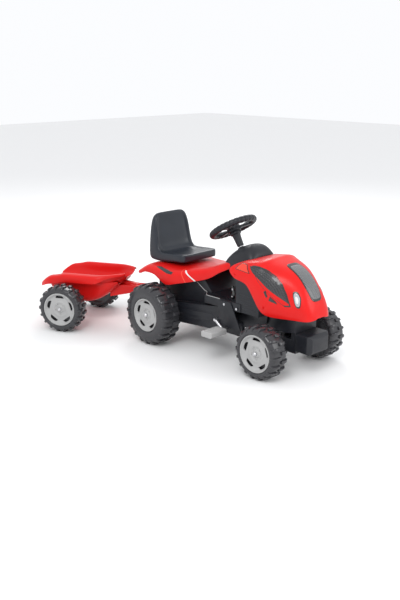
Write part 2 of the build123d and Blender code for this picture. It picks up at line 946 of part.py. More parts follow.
def steering_wheel():
    """The grip ring with three spokes and a hub."""
    plane = Plane(origin=COLUMN_TOP, z_dir=COLUMN_DOWN * -1, x_dir=COLUMN_BACK)
    shape = Torus(STEERING_RADIUS, GRIP_RADIUS)
    for angle in (0, 110, 250):
        spoke = Box(STEERING_RADIUS - 20, 20, 9, align=(Align.MIN, Align.CENTER, Align.CENTER))
        shape += Rot(0, 0, angle) * Pos(20, 0, -6) * spoke
    shape += Pos(0, 0, -9) * Cylinder(30, 26)
    shape -= Pos(0, 0, 4) * Cylinder(HORN_RADIUS + 0.5, 2 * (HORN_TRAVEL + 4))
    shape = plane * shape
    return shape - column_rod(-2, 200, COLUMN_RADIUS)


def horn_button():
    """The sprung button in the wheel's hub."""
    return column_rod(-8, -HORN_TRAVEL + 0.5, HORN_RADIUS)


def steering_collar():
    """The tapered sleeve below the steering wheel."""
    plane = Plane(origin=COLUMN_TOP + COLUMN_DOWN * 22, z_dir=COLUMN_DOWN)
    cone = Cone(23, 14, 66, align=(Align.CENTER, Align.CENTER, Align.MIN))
    return plane * cone - column_rod(0, 200, COLUMN_RADIUS)


def upper_bush():
    """The steering column's upper bearing, in the dashboard cover."""
    inner = COLUMN_RADIUS + RUNNING
    return column_ring(UPPER_BEARING, UPPER_BEARING + 24, inner, inner + BUSH_WALL)


def drop_arm_points():
    """Where the drop arm starts on the column and where it ends."""
    base = COLUMN_TOP + COLUMN_DOWN * (COLUMN_LENGTH - 4)
    return base, base + COLUMN_BACK * DROP_ARM


def steering_shaft():
    """The column with its drop arm and the pin that moves the track rod."""
    shape = column_rod(2, COLUMN_LENGTH, COLUMN_RADIUS)
    base, tip = drop_arm_points()
    plane = Plane(origin=base, z_dir=COLUMN_DOWN, x_dir=COLUMN_BACK)
    arm = Box(DROP_ARM + 5.5, 15, 5, align=(Align.MIN, Align.CENTER, Align.CENTER))
    shape += plane * arm
    length = (tip.Z - NOSE_TOP - 4.5) / -COLUMN_DOWN.Z
    return shape + rod(tip, tip + COLUMN_DOWN * length, PIVOT_RADIUS + 1)


def tie_rod():
    """The track rod with a fork for the drop arm and a slotted eye at each end."""
    half = LINK_RADIUS
    axle_x = WHEELBASE - KNUCKLE_ARM
    shape = rod_y(axle_x, LINK_Z, -KINGPIN_Y + 8, KINGPIN_Y - 8, LINK_RADIUS)
    play = PIVOT_RADIUS + 1 + PIVOT_PLAY
    fork_end = drop_arm_points()[1].X - PIVOT_RADIUS - 4
    prong = block((fork_end, play, LINK_Z - half), (axle_x + 4, play + 6, LINK_Z + half))
    eye = block(
        (axle_x - 9, KINGPIN_Y - 9.5, LINK_Z - half), (axle_x + 14, KINGPIN_Y + 9.5, LINK_Z + half)
    )
    reach = KNUCKLE_ARM * (1 - math.cos(math.radians(KNUCKLE_LIMIT)))
    slot = PIVOT_RADIUS + PIVOT_PLAY
    hole = block(
        (axle_x - PIVOT_RADIUS - 1, KINGPIN_Y - slot, 0),
        (axle_x + PIVOT_RADIUS + reach + 1, KINGPIN_Y + slot, 400),
    )
    return shape + both_sides(prong) + both_sides(eye) - both_sides(hole)


def front_axle_beam():
    """The beam on the chassis nose that carries both kingpins."""
    low = NOSE_TOP
    shape = block(
        (WHEELBASE - BEAM_DEPTH / 2, -KINGPIN_Y, low),
        (WHEELBASE + BEAM_DEPTH / 2, KINGPIN_Y, low + BEAM_HEIGHT),
    )
    ends = rod(
        (WHEELBASE, KINGPIN_Y, low), (WHEELBASE, KINGPIN_Y, low + BEAM_HEIGHT), BEAM_DEPTH / 2
    )
    bore = rod((WHEELBASE, KINGPIN_Y, 0), (WHEELBASE, KINGPIN_Y, 300), KINGPIN_RADIUS + RUNNING)
    return shape + both_sides(ends) - both_sides(bore)


def knuckle(side):
    """A steering knuckle with its stub axle, arm and arm pin."""
    top = NOSE_TOP - 0.6
    y = KINGPIN_Y
    shape = rod((WHEELBASE, y, FRONT_RADIUS - 14), (WHEELBASE, y, top), KNUCKLE_RADIUS)
    hub_inner = FRONT_Y - FRONT_WIDTH / 2 + 4
    shape += rod_y(WHEELBASE, FRONT_RADIUS, y, hub_inner - GAP, 9.0)
    shape += rod_y(WHEELBASE, FRONT_RADIUS, y, FRONT_Y + FRONT_WIDTH / 2 - 5, STUB_RADIUS)
    arm_x = WHEELBASE - KNUCKLE_ARM
    shape += block((arm_x, y - 8, top - 7.4), (WHEELBASE, y + 8, top))
    shape += rod((arm_x, y, top - 7.4), (arm_x, y, top), 8.0)
    shape += rod((arm_x, y, top), (arm_x, y, LINK_Z + LINK_RADIUS + 4), PIVOT_RADIUS)
    shape -= rod((WHEELBASE, y, FRONT_RADIUS + 12), (WHEELBASE, y, 400), KINGPIN_RADIUS)
    return shape if side > 0 else mirror(shape, about=Plane.XZ)


def kingpin(side):
    """The headed pin from the beam's top down into the knuckle."""
    top = NOSE_TOP + BEAM_HEIGHT
    shape = rod((WHEELBASE, KINGPIN_Y, FRONT_RADIUS + 12), (WHEELBASE, KINGPIN_Y, top + 5), KINGPIN_RADIUS)
    shape += rod((WHEELBASE, KINGPIN_Y, top + 0.6), (WHEELBASE, KINGPIN_Y, top + 5), 9.0)
    return shape if side > 0 else mirror(shape, about=Plane.XZ)


# ---------------------------------------------------------------- hitch and trailer


def hitch_bracket():
    """The tongue plate on the chassis' rear wall with the hitch pin's hole."""
    low = HITCH_Z - HITCH_THICKNESS / 2
    plan = face_xy([(CHASSIS_REAR, -34), (CHASSIS_REAR, 34), (HITCH_X, 12), (HITCH_X, -12)])
    plate = slab_z(plan, low, low + HITCH_THICKNESS)
    plate += rod((HITCH_X, 0, low), (HITCH_X, 0, low + HITCH_THICKNESS), 14.0)
    plate += block((CHASSIS_REAR - 5, -40, HITCH_Z - 24), (CHASSIS_REAR, 40, HITCH_Z + 24))
    return plate - rod((HITCH_X, 0, 0), (HITCH_X, 0, 300), PIN_RADIUS)


def hitch_pin():
    """The drop-in pin with its head."""
    top = HITCH_Z + HITCH_THICKNESS / 2 + GAP + DRAWBAR_THICKNESS + GAP
    shape = rod((HITCH_X, 0, HITCH_Z - HITCH_THICKNESS / 2 - 14), (HITCH_X, 0, top + 4), PIN_RADIUS)
    return shape + rod((HITCH_X, 0, top), (HITCH_X, 0, top + 4), 10.0)


def tub_outline(inset):
    """The tub's outline from the side. The hollow's goes on past the rim and the rear lip."""
    above = 60.0 if inset else 0.0
    rim = [
        (TUB_REAR - 42 - above, TUB_TOP - 62 + above),
        (TUB_REAR, TUB_TOP - 20 + above),
        (-52, TUB_TOP - 8 + above),
        (-30, TUB_TOP + above),
        (TUB_FRONT + 60, TUB_TOP + 6 + above),
    ]
    floor = [
        (TUB_FRONT + 6, TUB_TOP - 52),
        (TUB_FRONT - 60, TUB_BOTTOM + 6),
        (60, TUB_BOTTOM),
        (-30, TUB_BOTTOM + 12),
        (TUB_REAR - 30 - above, TUB_TOP - 78),
    ]
    nose = [(TUB_FRONT + 60, TUB_TOP + 6)] if inset else []
    outline = face_xz(rim + nose + floor)
    return offset(outline, -inset) if inset else outline


def tub_form(inset):
    """The trailer's tub as a lump, in the trailer's own frame with X forward from its axle."""
    half = TUB_HALF + SKIN - inset
    low_half = 0.55 * TUB_HALF + SKIN - inset
    section = face_yz(
        [
            (-low_half, TUB_BOTTOM - 20),
            (low_half, TUB_BOTTOM - 20),
            (half, TUB_TOP - 56),
            (half, TUB_TOP + 80),
            (-half, TUB_TOP + 80),
            (-half, TUB_TOP - 56),
        ]
    )
    plan = face_xy(
        mirrored(
            [
                (TUB_REAR - 100, half - 10),
                (TUB_REAR + 30, half),
                (TUB_FRONT - 30, half),
                (TUB_FRONT + 58 - inset, 0.5 * half),
            ]
        )
    )
    shape = slab_y(tub_outline(inset), -300, 300) & slab_x(section, -400, 500)
    return shape & slab_z(plan, 0, 500)


def tub_flange():
    """The broad rim that slopes down outside the tub's side walls, like two mudguards."""
    half = TUB_HALF + SKIN
    section = face_yz(
        [
            (half - SKIN, TUB_TOP - 2 * SKIN),
            (half - SKIN, TUB_TOP),
            (half + FLANGE_WIDTH - 8, TUB_TOP - 6),
            (half + FLANGE_WIDTH, TUB_TOP - 12),
            (half + FLANGE_WIDTH, TUB_TOP - FLANGE_DROP - 6),
            (half + FLANGE_WIDTH - SKIN, TUB_TOP - FLANGE_DROP - 6),
            (half + FLANGE_WIDTH - SKIN, TUB_TOP - 12 - SKIN),
            (half + FLANGE_WIDTH - 10, TUB_TOP - 7 - SKIN),
        ]
    )
    plan = face_xy(
        [
            (TUB_REAR + 10, half - SKIN),
            (TUB_REAR + 26, half + FLANGE_WIDTH + 1),
            (TUB_FRONT - 60, half + FLANGE_WIDTH + 1),
            (TUB_FRONT - 30, half - SKIN),
        ]
    )
    return both_sides(slab_x(section, TUB_REAR, TUB_FRONT) & slab_z(plan, 0, 500))


def drawbar():
    """The tapering beam from the tub's nose to the hitch eye, in the trailer's frame."""
    low = HITCH_Z + HITCH_THICKNESS / 2 + GAP
    start = TUB_FRONT - 20
    plan = face_xy(
        mirrored(
            [(start, 0.55 * TUB_HALF), (start + 90, DRAWBAR_HALF), (DRAWBAR - 14, DRAWBAR_HALF - 6)]
        )
    )
    bar = slab_z(plan, low, low + DRAWBAR_THICKNESS)
    bar += rod((DRAWBAR, 0, low), (DRAWBAR, 0, low + DRAWBAR_THICKNESS), DRAWBAR_HALF - 4)
    web = slab_y(
        face_xz(
            [
                (TUB_FRONT - 66, TUB_BOTTOM + 4),
                (TUB_FRONT + 60, low),
                (TUB_FRONT + 130, low + DRAWBAR_THICKNESS),
                (TUB_FRONT + 20, TUB_TOP - 40),
            ]
        ),
        -14,
        14,
    )
    hole = rod((DRAWBAR, 0, 0), (DRAWBAR, 0, 300), PIN_RADIUS + RUNNING)
    return (bar + web) - hole


def on_trailer(shape):
    """Move a shape from the trailer's own frame to its place behind the tractor."""
    return Pos(HITCH_X, 0, 0) * Rot(0, 0, TRAILER_YAW) * Pos(-DRAWBAR, 0, 0) * shape


def trailer_tub():
    """The trailer's one-piece tub with its rim and drawbar."""
    outer = tub_form(0.0) + drawbar()
    return on_trailer(outer - tub_form(SKIN) + tub_flange())


AXLE_BRACKET_Y = 54.0


def trailer_brackets():
    """Two brackets under the tub that hold the axle."""
    pieces = []
    for side in (1, -1):
        y = side * AXLE_BRACKET_Y
        low, high = y - 4, y + 4
        face = face_xz(
            [(-12, FRONT_RADIUS - 12), (12, FRONT_RADIUS - 12), (26, TUB_BOTTOM + 30), (-26, TUB_BOTTOM + 30)]
        )
        plate = slab_y(face, low, high) - tub_form(0.0)
        plate = plate.solids().sort_by(Axis.Z)[0]
        plate -= rod_y(0, FRONT_RADIUS, -200, 200, STUB_RADIUS)
        pieces.append(on_trailer(plate))
    return pieces


def trailer_axle():
    """The fixed axle rod under the tub."""
    end = TRAILER_Y + FRONT_WIDTH / 2 - 5
    return on_trailer(rod_y(0, FRONT_RADIUS, -end, end, STUB_RADIUS))


# ---------------------------------------------------------------- assembly


def wheel_parts(prefix, place, radius, width, rim_radius, lugs, shaft, cap_gap):
    """The tyre, rim and axle cap of one wheel."""
    cap = Pos(0, 0, width / 2 - 5 + cap_gap) * axle_cap(shaft)
    return {
        prefix + "_tyre": place * tyre(radius, width, rim_radius, lugs, shaft + RUNNING),
        prefix + "_rim": place * rim(width, rim_radius, shaft + RUNNING),
        prefix + "_cap": place * cap,
    }


def all_wheels():
    """The six wheels, each named after its place."""
    parts = {}
    for name, side in (("right", -1), ("left", 1)):
        rear = wheel_place(0, side * REAR_Y, REAR_RADIUS, side)
        front = wheel_place(WHEELBASE, side * FRONT_Y, FRONT_RADIUS, side)
        towed = wheel_place(0, side * TRAILER_Y, FRONT_RADIUS, side)
        parts |= wheel_parts(
            "rear_" + name, rear, REAR_RADIUS, REAR_WIDTH, REAR_RIM_RADIUS, REAR_LUGS, AXLE_RADIUS, 0.0
        )
        size = (FRONT_RADIUS, FRONT_WIDTH, FRONT_RIM_RADIUS, FRONT_LUGS, STUB_RADIUS)
        parts |= wheel_parts("front_" + name, front, *size, 0.6)
        parts |= wheel_parts("trailer_" + name, on_trailer(towed), *size, 0.6)
    return parts


def all_parts():
    """Every named piece of the object in the tractor's frame."""
    parts = {
        "chassis_tub": chassis_tub(),
        "column_bush": column_bush(),
        "upper_bush": upper_bush(),
        "crank_bushes": axle_bushes(CRANK_X, CRANK_Z, CRANK_RADIUS),
        "rear_axle_bushes": axle_bushes(0, REAR_RADIUS, AXLE_RADIUS),
        "hood_shell": hood_shell(),
        "grille_panel": grille_panel(),
        "grille_frame": grille_frame(),
        "side_windows": panel_on_hood(face_xz(SIDE_WINDOW), PANEL_DEPTH),
        "upper_vents": panel_on_hood(face_xz(UPPER_VENT), PANEL_DEPTH),
        "headlamps": panel_on_hood(face_xz(HEADLAMP), PANEL_DEPTH + 1),
        "dashboard_cover": dashboard_cover(),
        "rear_body": rear_body(),
        "seat": seat(),
        "front_weight": front_weight(),
        "hood_screws": hood_screws(),
        "bracket_bolts": bracket_bolts(),
        "crank_bracket_right": crank_bracket(-1),
        "crank_bracket_left": crank_bracket(1),
        "crank_shaft": crank_shaft(),
        "chainring": sprocket(CRANK_X, CRANK_Z, CHAINRING_TEETH, CRANK_RADIUS),
        "pedal_right": pedal(-1),
        "pedal_left": pedal(1),
        "rear_sprocket": sprocket(0, REAR_RADIUS, SPROCKET_TEETH, AXLE_RADIUS),
        "chain": chain(),
        "chain_case": chain_case(),
        "rear_axle": rear_axle(),
        "steering_wheel": steering_wheel(),
        "horn_button": horn_button(),
        "steering_collar": steering_collar(),
        "steering_shaft": steering_shaft(),
        "tie_rod": tie_rod(),
        "front_axle_beam": front_axle_beam(),
        "knuckle_right": knuckle(-1),
        "knuckle_left": knuckle(1),
        "kingpin_right": kingpin(-1),
        "kingpin_left": kingpin(1),
        "hitch_bracket": hitch_bracket(),
        "hitch_pin": hitch_pin(),
        "trailer_tub": trailer_tub(),
        "trailer_brackets": trailer_brackets(),
        "trailer_axle": trailer_axle(),
    }
    return parts | all_wheels()


def solids_of(shape):
    """A piece's separate solids, whether it is one shape or a list of them."""
    shapes = shape if isinstance(shape, (list, tuple)) else [shape]
    return [solid for item in shapes for solid in item.solids()]


def main():
    """Build every piece, centre the object over its origin and write one file per piece."""
    os.makedirs("parts", exist_ok=True)
    parts = {name: solids_of(shape) for name, shape in all_parts().items()}
    box = Compound([s for solids in parts.values() for s in solids]).bounding_box()
    centre = Pos(-(box.min.X + box.max.X) / 2, -(box.min.Y + box.max.Y) / 2, -box.min.Z)
    for name, solids in parts.items():
        moved = [centre * s for s in solids]
        shape = moved[0] if len(moved) == 1 else Compound(moved)
        export_step(shape, f"parts/{name}.step")
    print("origin of the tractor's frame", tuple(centre.position))


if __name__ == "__main__":
    main()
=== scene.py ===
"""A ride-on pedal tractor with its trailer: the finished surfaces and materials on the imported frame."""

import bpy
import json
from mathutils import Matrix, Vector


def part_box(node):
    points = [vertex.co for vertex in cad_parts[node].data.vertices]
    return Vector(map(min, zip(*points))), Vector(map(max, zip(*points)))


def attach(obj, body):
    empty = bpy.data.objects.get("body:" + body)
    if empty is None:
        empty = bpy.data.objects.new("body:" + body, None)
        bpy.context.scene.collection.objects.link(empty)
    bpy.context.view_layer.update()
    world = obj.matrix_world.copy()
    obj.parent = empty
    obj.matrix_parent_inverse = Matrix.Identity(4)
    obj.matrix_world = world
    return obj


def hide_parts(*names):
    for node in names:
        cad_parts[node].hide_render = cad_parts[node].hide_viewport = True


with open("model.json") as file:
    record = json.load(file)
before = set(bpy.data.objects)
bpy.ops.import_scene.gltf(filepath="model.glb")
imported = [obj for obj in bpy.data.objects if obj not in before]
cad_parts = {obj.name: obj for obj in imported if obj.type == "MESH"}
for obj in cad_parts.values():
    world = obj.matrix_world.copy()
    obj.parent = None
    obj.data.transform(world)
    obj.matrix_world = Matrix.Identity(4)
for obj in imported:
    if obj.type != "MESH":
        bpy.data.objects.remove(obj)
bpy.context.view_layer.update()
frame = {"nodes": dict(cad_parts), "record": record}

import json
import logging
import math
from collections.abc import Callable, Iterable, Sequence
from dataclasses import dataclass, field
from enum import Enum

import bmesh
import bpy
from mathutils import Matrix, Vector

LOG = logging.getLogger("tractor")
MM = 0.001
Point = tuple[float, float, float]
Pair = tuple[float, float]
Colour = tuple[float, float, float]
Thing = bpy.types.Object


class Side(Enum):
    """The tractor's right and left side, as the sign of Y."""

    RIGHT = -1
    LEFT = 1

    @property
    def word(self) -> str:
        """Its name in lower case."""
        return self.name.lower()


# ------------------------------------------------------------------ finishes


@dataclass(frozen=True)
class Finish:
    """A surface finish: its colour, gloss and the grain that the mould leaves.

    Attributes:
        name: The material's name.
        slot: The record's material slot that it usually dresses.
        colour: Base colour, linear.
        roughness: Mean roughness.
        grain: Grain cells per metre.
        depth: Strength of the grain's bump.
        mottle: How far the colour drifts, as a share of itself.
        metallic: 1 for bare metal.
        coat: Weight of the clear gloss on top.
        scuff: How much rougher worn patches are.
        shine: Specular level under the coat.
    """

    name: str
    slot: str
    colour: Colour
    roughness: float = 0.4
    grain: float = 900.0
    depth: float = 0.1
    mottle: float = 0.06
    metallic: float = 0.0
    coat: float = 0.0
    scuff: float = 0.1
    shine: float = 0.5

    def material(self) -> bpy.types.Material:
        """Build the node material, or return it if it is there already."""
        made = bpy.data.materials.get(self.name)
        if made:
            return made
        made = bpy.data.materials.new(self.name)
        made.use_nodes = True
        self.wire(made.node_tree, made.node_tree.nodes["Principled BSDF"])
        return made

    def wire(self, tree: bpy.types.NodeTree, shader: bpy.types.ShaderNode) -> None:
        """Connect the finish's textures.

        Args:
            tree: The material's node tree.
            shader: Its Principled shader.
        """
        shader.inputs["Metallic"].default_value = self.metallic
        shader.inputs["Coat Weight"].default_value = self.coat
        shader.inputs["Coat Roughness"].default_value = 0.12
        shader.inputs["Specular IOR Level"].default_value = self.shine
        place = tree.nodes.new("ShaderNodeTexCoord").outputs["Object"]
        drift = self.noise(tree, place, 7.0, 4.0)
        dark = tuple(c * (1 - self.mottle) for c in self.colour)
        light = tuple(min(1.0, c * (1 + self.mottle)) for c in self.colour)
        self.link_colour(tree, shader, drift, dark, light)
        wear = self.noise(tree, place, 38.0, 6.0)
        span = tree.nodes.new("ShaderNodeMapRange")
        span.inputs["From Min"].default_value = 0.35
        span.inputs["From Max"].default_value = 0.7
        span.inputs["To Min"].default_value = self.roughness
        span.inputs["To Max"].default_value = min(1.0, self.roughness + self.scuff)
        tree.links.new(wear, span.inputs["Value"])
        tree.links.new(span.outputs["Result"], shader.inputs["Roughness"])
        self.link_bump(tree, shader, self.noise(tree, place, self.grain, 3.0))

    def noise(self, tree: bpy.types.NodeTree, place: object, scale: float, detail: float) -> object:
        """Add a noise texture and return its value socket."""
        node = tree.nodes.new("ShaderNodeTexNoise")
        node.inputs["Scale"].default_value = scale
        node.inputs["Detail"].default_value = detail
        tree.links.new(place, node.inputs["Vector"])
        return node.outputs["Fac"]

    def link_colour(
        self, tree: bpy.types.NodeTree, shader: object, value: object, low: Colour, high: Colour
    ) -> None:
        """Drive the base colour between two colours."""
        ramp = tree.nodes.new("ShaderNodeValToRGB")
        ramp.color_ramp.elements[0].position = 0.3
        ramp.color_ramp.elements[1].position = 0.7
        ramp.color_ramp.elements[0].color = (*low, 1.0)
        ramp.color_ramp.elements[1].color = (*high, 1.0)
        tree.links.new(value, ramp.inputs["Fac"])
        tree.links.new(ramp.outputs["Color"], shader.inputs["Base Color"])

    def link_bump(self, tree: bpy.types.NodeTree, shader: object, height: object) -> None:
        """Drive the bump from a height socket."""
        bump = tree.nodes.new("ShaderNodeBump")
        bump.inputs["Strength"].default_value = self.depth
        bump.inputs["Distance"].default_value = 0.001
        tree.links.new(height, bump.inputs["Height"])
        tree.links.new(bump.outputs["Normal"], shader.inputs["Normal"])


@dataclass(frozen=True)
class MeshPrint(Finish):
    """A lacquered print of a fine woven mesh.

    Attributes:
        pitch: Distance between the mesh's wires, in metres.
        wire_colour: Colour of the wires.
    """

    pitch: float = 0.004
    wire_colour: Colour = (0.3, 0.3, 0.31)

    def wire(self, tree: bpy.types.NodeTree, shader: bpy.types.ShaderNode) -> None:
        """Connect a checked pattern to the colour and the bump."""
        shader.inputs["Roughness"].default_value = self.roughness
        shader.inputs["Coat Weight"].default_value = self.coat
        place = tree.nodes.new("ShaderNodeTexCoord").outputs["Object"]
        turn = tree.nodes.new("ShaderNodeMapping")
        turn.inputs["Rotation"].default_value = (math.radians(45), math.radians(45), 0)
        tree.links.new(place, turn.inputs["Vector"])
        check = tree.nodes.new("ShaderNodeTexChecker")
        check.inputs["Scale"].default_value = 1.0 / self.pitch
        tree.links.new(turn.outputs["Vector"], check.inputs["Vector"])
        self.link_colour(tree, shader, check.outputs["Fac"], self.colour, self.wire_colour)
        self.link_bump(tree, shader, check.outputs["Fac"])


RED = Finish(
    "red_gloss", "red_plastic", (0.64, 0.008, 0.007), 0.3, 420.0, 0.02, 0.04, coat=0.06,
    scuff=0.06, shine=0.22)
CHARCOAL = Finish(
    "charcoal_satin", "charcoal_plastic", (0.009, 0.010, 0.014), 0.36, 1500.0, 0.1, 0.16,
    scuff=0.14, shine=0.42)
SEAT_CHARCOAL = Finish(
    "seat_charcoal", "charcoal_plastic", (0.015, 0.019, 0.027), 0.28, 1300.0, 0.08, 0.12,
    scuff=0.1, shine=0.4)
TYRE = Finish(
    "tyre_plastic", "tyre_plastic", (0.007, 0.008, 0.011), 0.26, 700.0, 0.08, 0.25, coat=0.2,
    scuff=0.16)
GREY = Finish("light_grey", "grey_plastic", (0.37, 0.37, 0.368), 0.42, 1100.0, 0.1, 0.05, scuff=0.1)
STEEL = Finish(
    "zinc_steel", "steel", (0.62, 0.62, 0.64), 0.26, 260.0, 0.12, 0.12, metallic=1.0, scuff=0.2)
WHITE = Finish("bearing_white", "bush_white", (0.7, 0.7, 0.68), 0.5, 900.0, 0.1)
BLACK = Finish(
    "print_black", "window_black", (0.008, 0.008, 0.009), 0.22, 300.0, 0.04, 0.1, coat=0.5)
STRIPE = Finish(
    "print_white", "lamp_clear", (0.66, 0.65, 0.64), 0.3, 300.0, 0.04, 0.03, coat=0.4)
LENS = Finish(
    "lamp_silver", "lamp_clear", (0.30, 0.31, 0.33), 0.12, 260.0, 0.3, 0.35, coat=0.5, scuff=0.02)
VENT = Finish(
    "vent_orange", "vent_red", (0.72, 0.035, 0.012), 0.3, 500.0, 0.08, 0.08, coat=0.2)
WINDOW = MeshPrint(
    "window_mesh", "window_black", (0.01, 0.01, 0.011), 0.25, depth=0.2, coat=0.4, pitch=0.005,
    wire_colour=(0.035, 0.036, 0.04))
GRILLE = MeshPrint(
    "grille_mesh", "mesh_grey", (0.06, 0.062, 0.065), 0.3, depth=0.25, coat=0.5, pitch=0.004,
    wire_colour=(0.16, 0.165, 0.17))


# ------------------------------------------------------------------ the bench: modelling steps


def deselect() -> None:
    """Leave edit mode and deselect every object."""
    if bpy.context.object and bpy.context.object.mode != "OBJECT":
        bpy.ops.object.mode_set(mode="OBJECT")
    bpy.ops.object.select_all(action="DESELECT")


def take(thing: Thing) -> Thing:
    """Select one object alone and make it active."""
    deselect()
    thing.select_set(True)
    bpy.context.view_layer.objects.active = thing
    return thing


def edit(thing: Thing, everything: bool = True) -> bmesh.types.BMesh:
    """Enter edit mode on an object.

    Args:
        thing: The object.
        everything: Whether all of it starts selected.

    Returns:
        Its edit mesh.
    """
    take(thing)
    bpy.ops.object.mode_set(mode="EDIT")
    bpy.ops.mesh.select_all(action="SELECT" if everything else "DESELECT")
    return bmesh.from_edit_mesh(thing.data)


def settle(thing: Thing, name: str) -> Thing:
    """Leave edit mode, name the object and bake its place into its mesh."""
    take(thing)
    thing.name = name
    thing.data.name = name
    bpy.ops.object.transform_apply(location=True, rotation=True, scale=True)
    return thing


def outward(thing: Thing) -> Thing:
    """Merge doubles and turn every face outwards."""
    edit(thing)
    bpy.ops.mesh.remove_doubles(threshold=0.00002)
    bpy.ops.mesh.normals_make_consistent(inside=False)
    deselect()
    return thing


def apply_modifier(thing: Thing, kind: str, **settings: object) -> Thing:
    """Add a modifier with these settings and apply it."""
    take(thing)
    modifier = thing.modifiers.new(kind.lower(), kind)
    for key, value in settings.items():
        setattr(modifier, key, value)
    bpy.ops.object.modifier_apply(modifier=modifier.name)
    return thing


def round_edges(thing: Thing, width: float, segments: int = 2, angle: float = 30.0) -> Thing:
    """Bevel every edge sharper than an angle. width is in millimetres."""
    return apply_modifier(
        thing, "BEVEL", width=width * MM, segments=segments, limit_method="ANGLE",
        angle_limit=math.radians(angle), use_clamp_overlap=True,
    )


def smooth(thing: Thing, levels: int = 2) -> Thing:
    """Apply a subdivision surface."""
    return apply_modifier(thing, "SUBSURF", levels=levels, render_levels=levels)


def thicken(thing: Thing, wall: float, offset: float = -1.0) -> Thing:
    """Give a sheet a wall. wall is in millimetres; offset -1 puts it inside the sheet."""
    return apply_modifier(
        thing, "SOLIDIFY", thickness=wall * MM, offset=offset, use_even_offset=True
    )


def shade(thing: Thing, angle: float = 35.0) -> Thing:
    """Shade smooth except over sharp edges."""
    take(thing)
    bpy.ops.object.shade_smooth_by_angle(angle=math.radians(angle))
    return thing


def sheet(name: str, rows: Sequence[Sequence[Point]]) -> Thing:
    """Mould a grid over rows of points.

    Args:
        name: The object's name.
        rows: Rows of points in millimetres, all of one length.

    Returns:
        The sheet, with its points where the rows say.
    """
    deselect()
    tall, wide = len(rows), len(rows[0])
    bpy.ops.mesh.primitive_grid_add(x_subdivisions=wide - 1, y_subdivisions=tall - 1, size=2)
    thing = bpy.context.object
    for vertex in thing.data.vertices:
        column = round((vertex.co.x + 1) / 2 * (wide - 1))
        row = round((vertex.co.y + 1) / 2 * (tall - 1))
        vertex.co = Vector(rows[row][column]) * MM
    return settle(thing, name)


def tube(name: str, loops: Sequence[Sequence[Point]]) -> Thing:
    """Loft closed loops of points into a solid with both ends filled."""
    thing = sheet(name, [[*loop, loop[0]] for loop in loops])
    edit(thing)
    bpy.ops.mesh.remove_doubles(threshold=0.00001)
    bpy.ops.mesh.select_all(action="DESELECT")
    bpy.ops.mesh.select_non_manifold()
    bpy.ops.mesh.fill_holes(sides=0)
    return outward(thing)


def prism(name: str, outline: Sequence[Point], rise: Point) -> Thing:
    """Extrude a flat outline of points, in millimetres, along a vector."""
    deselect()
    bpy.ops.mesh.primitive_circle_add(vertices=len(outline), radius=1, fill_type="NGON")
    thing = bpy.context.object
    for vertex, point in zip(thing.data.vertices, outline):
        vertex.co = Vector(point) * MM
    edit(thing)
    bpy.ops.mesh.extrude_region_move(TRANSFORM_OT_translate={"value": Vector(rise) * MM})
    deselect()
    return outward(settle(thing, name))


def lathe(name: str, profile: Sequence[Pair], steps: int) -> Thing:
    """Spin a closed profile of (radius, height) points, in millimetres, about Z."""
    deselect()
    bpy.ops.mesh.primitive_circle_add(vertices=len(profile), radius=1, fill_type="NOTHING")
    thing = bpy.context.object
    for vertex, (radius, height) in zip(thing.data.vertices, profile):
        vertex.co = Vector((radius, 0, height)) * MM
    edit(thing)
    bpy.ops.mesh.spin(steps=steps, angle=math.tau, center=(0, 0, 0), axis=(0, 0, 1))
    deselect()
    return outward(settle(thing, name))


def block(name: str, low: Point, high: Point, width: float) -> Thing:
    """Add a box between two corners and round its edges by a width, all in millimetres."""
    deselect()
    centre = [(a + b) / 2 * MM for a, b in zip(low, high)]
    bpy.ops.mesh.primitive_cube_add(size=1, location=centre)
    thing = bpy.context.object
    thing.scale = [(b - a) * MM for a, b in zip(low, high)]
    return round_edges(settle(thing, name), width)


def post(name: str, start: Point, end: Point, radii: Pair, sides: int = 32) -> Thing:
    """Add a round bar between two points, tapered from one radius to the other."""
    deselect()
    start, end = Vector(start) * MM, Vector(end) * MM
    along = end - start
    bpy.ops.mesh.primitive_cone_add(
        vertices=sides, radius1=radii[0] * MM, radius2=radii[1] * MM, depth=along.length,
        location=(start + end) / 2, rotation=along.to_track_quat("Z", "Y").to_euler(),
    )
    return settle(bpy.context.object, name)


def moved(thing: Thing, place: Matrix) -> Thing:
    """Bake a matrix into an object's mesh, and turn its faces back out if it mirrors."""
    thing.data.transform(place)
    if place.determinant() < 0:
        thing.data.flip_normals()
    return thing


def copy_of(thing: Thing, name: str, place: Matrix | None = None) -> Thing:
    """Copy an object with a mesh of its own."""
    twin = thing.copy()
    twin.data = thing.data.copy()
    twin.name = name
    twin.data.name = name
    bpy.context.collection.objects.link(twin)
    return moved(twin, place) if place else twin


def merged(things: Iterable[Thing], name: str) -> Thing:
    """Join several objects into one."""
    things = list(things)
    deselect()
    for thing in things:
        thing.select_set(True)
    bpy.context.view_layer.objects.active = things[0]
    if len(things) > 1:
        bpy.ops.object.join()
    return settle(things[0], name)


def carved(thing: Thing, cutter: Thing) -> Thing:
    """Cut one object with another and remove the cutter."""
    apply_modifier(thing, "BOOLEAN", operation="DIFFERENCE", object=cutter, solver="EXACT")
    bpy.data.objects.remove(cutter)
    return thing


def face_skyward(thing: Thing, up: bool = True, reach: float = math.inf) -> Thing:
    """Flip a sheet's faces if they look the wrong way on the whole.

    Args:
        thing: The sheet.
        up: Whether the faces should look up, and not down.
        reach: Only faces nearer to the middle plane than this, in metres, are asked.

    Returns:
        The sheet.
    """
    mesh = edit(thing)
    asked = [face for face in mesh.faces if abs(face.calc_center_median().y) < reach]
    if (sum(face.normal.z for face in asked) > 0) != up:
        bpy.ops.mesh.flip_normals()
    deselect()
    return thing


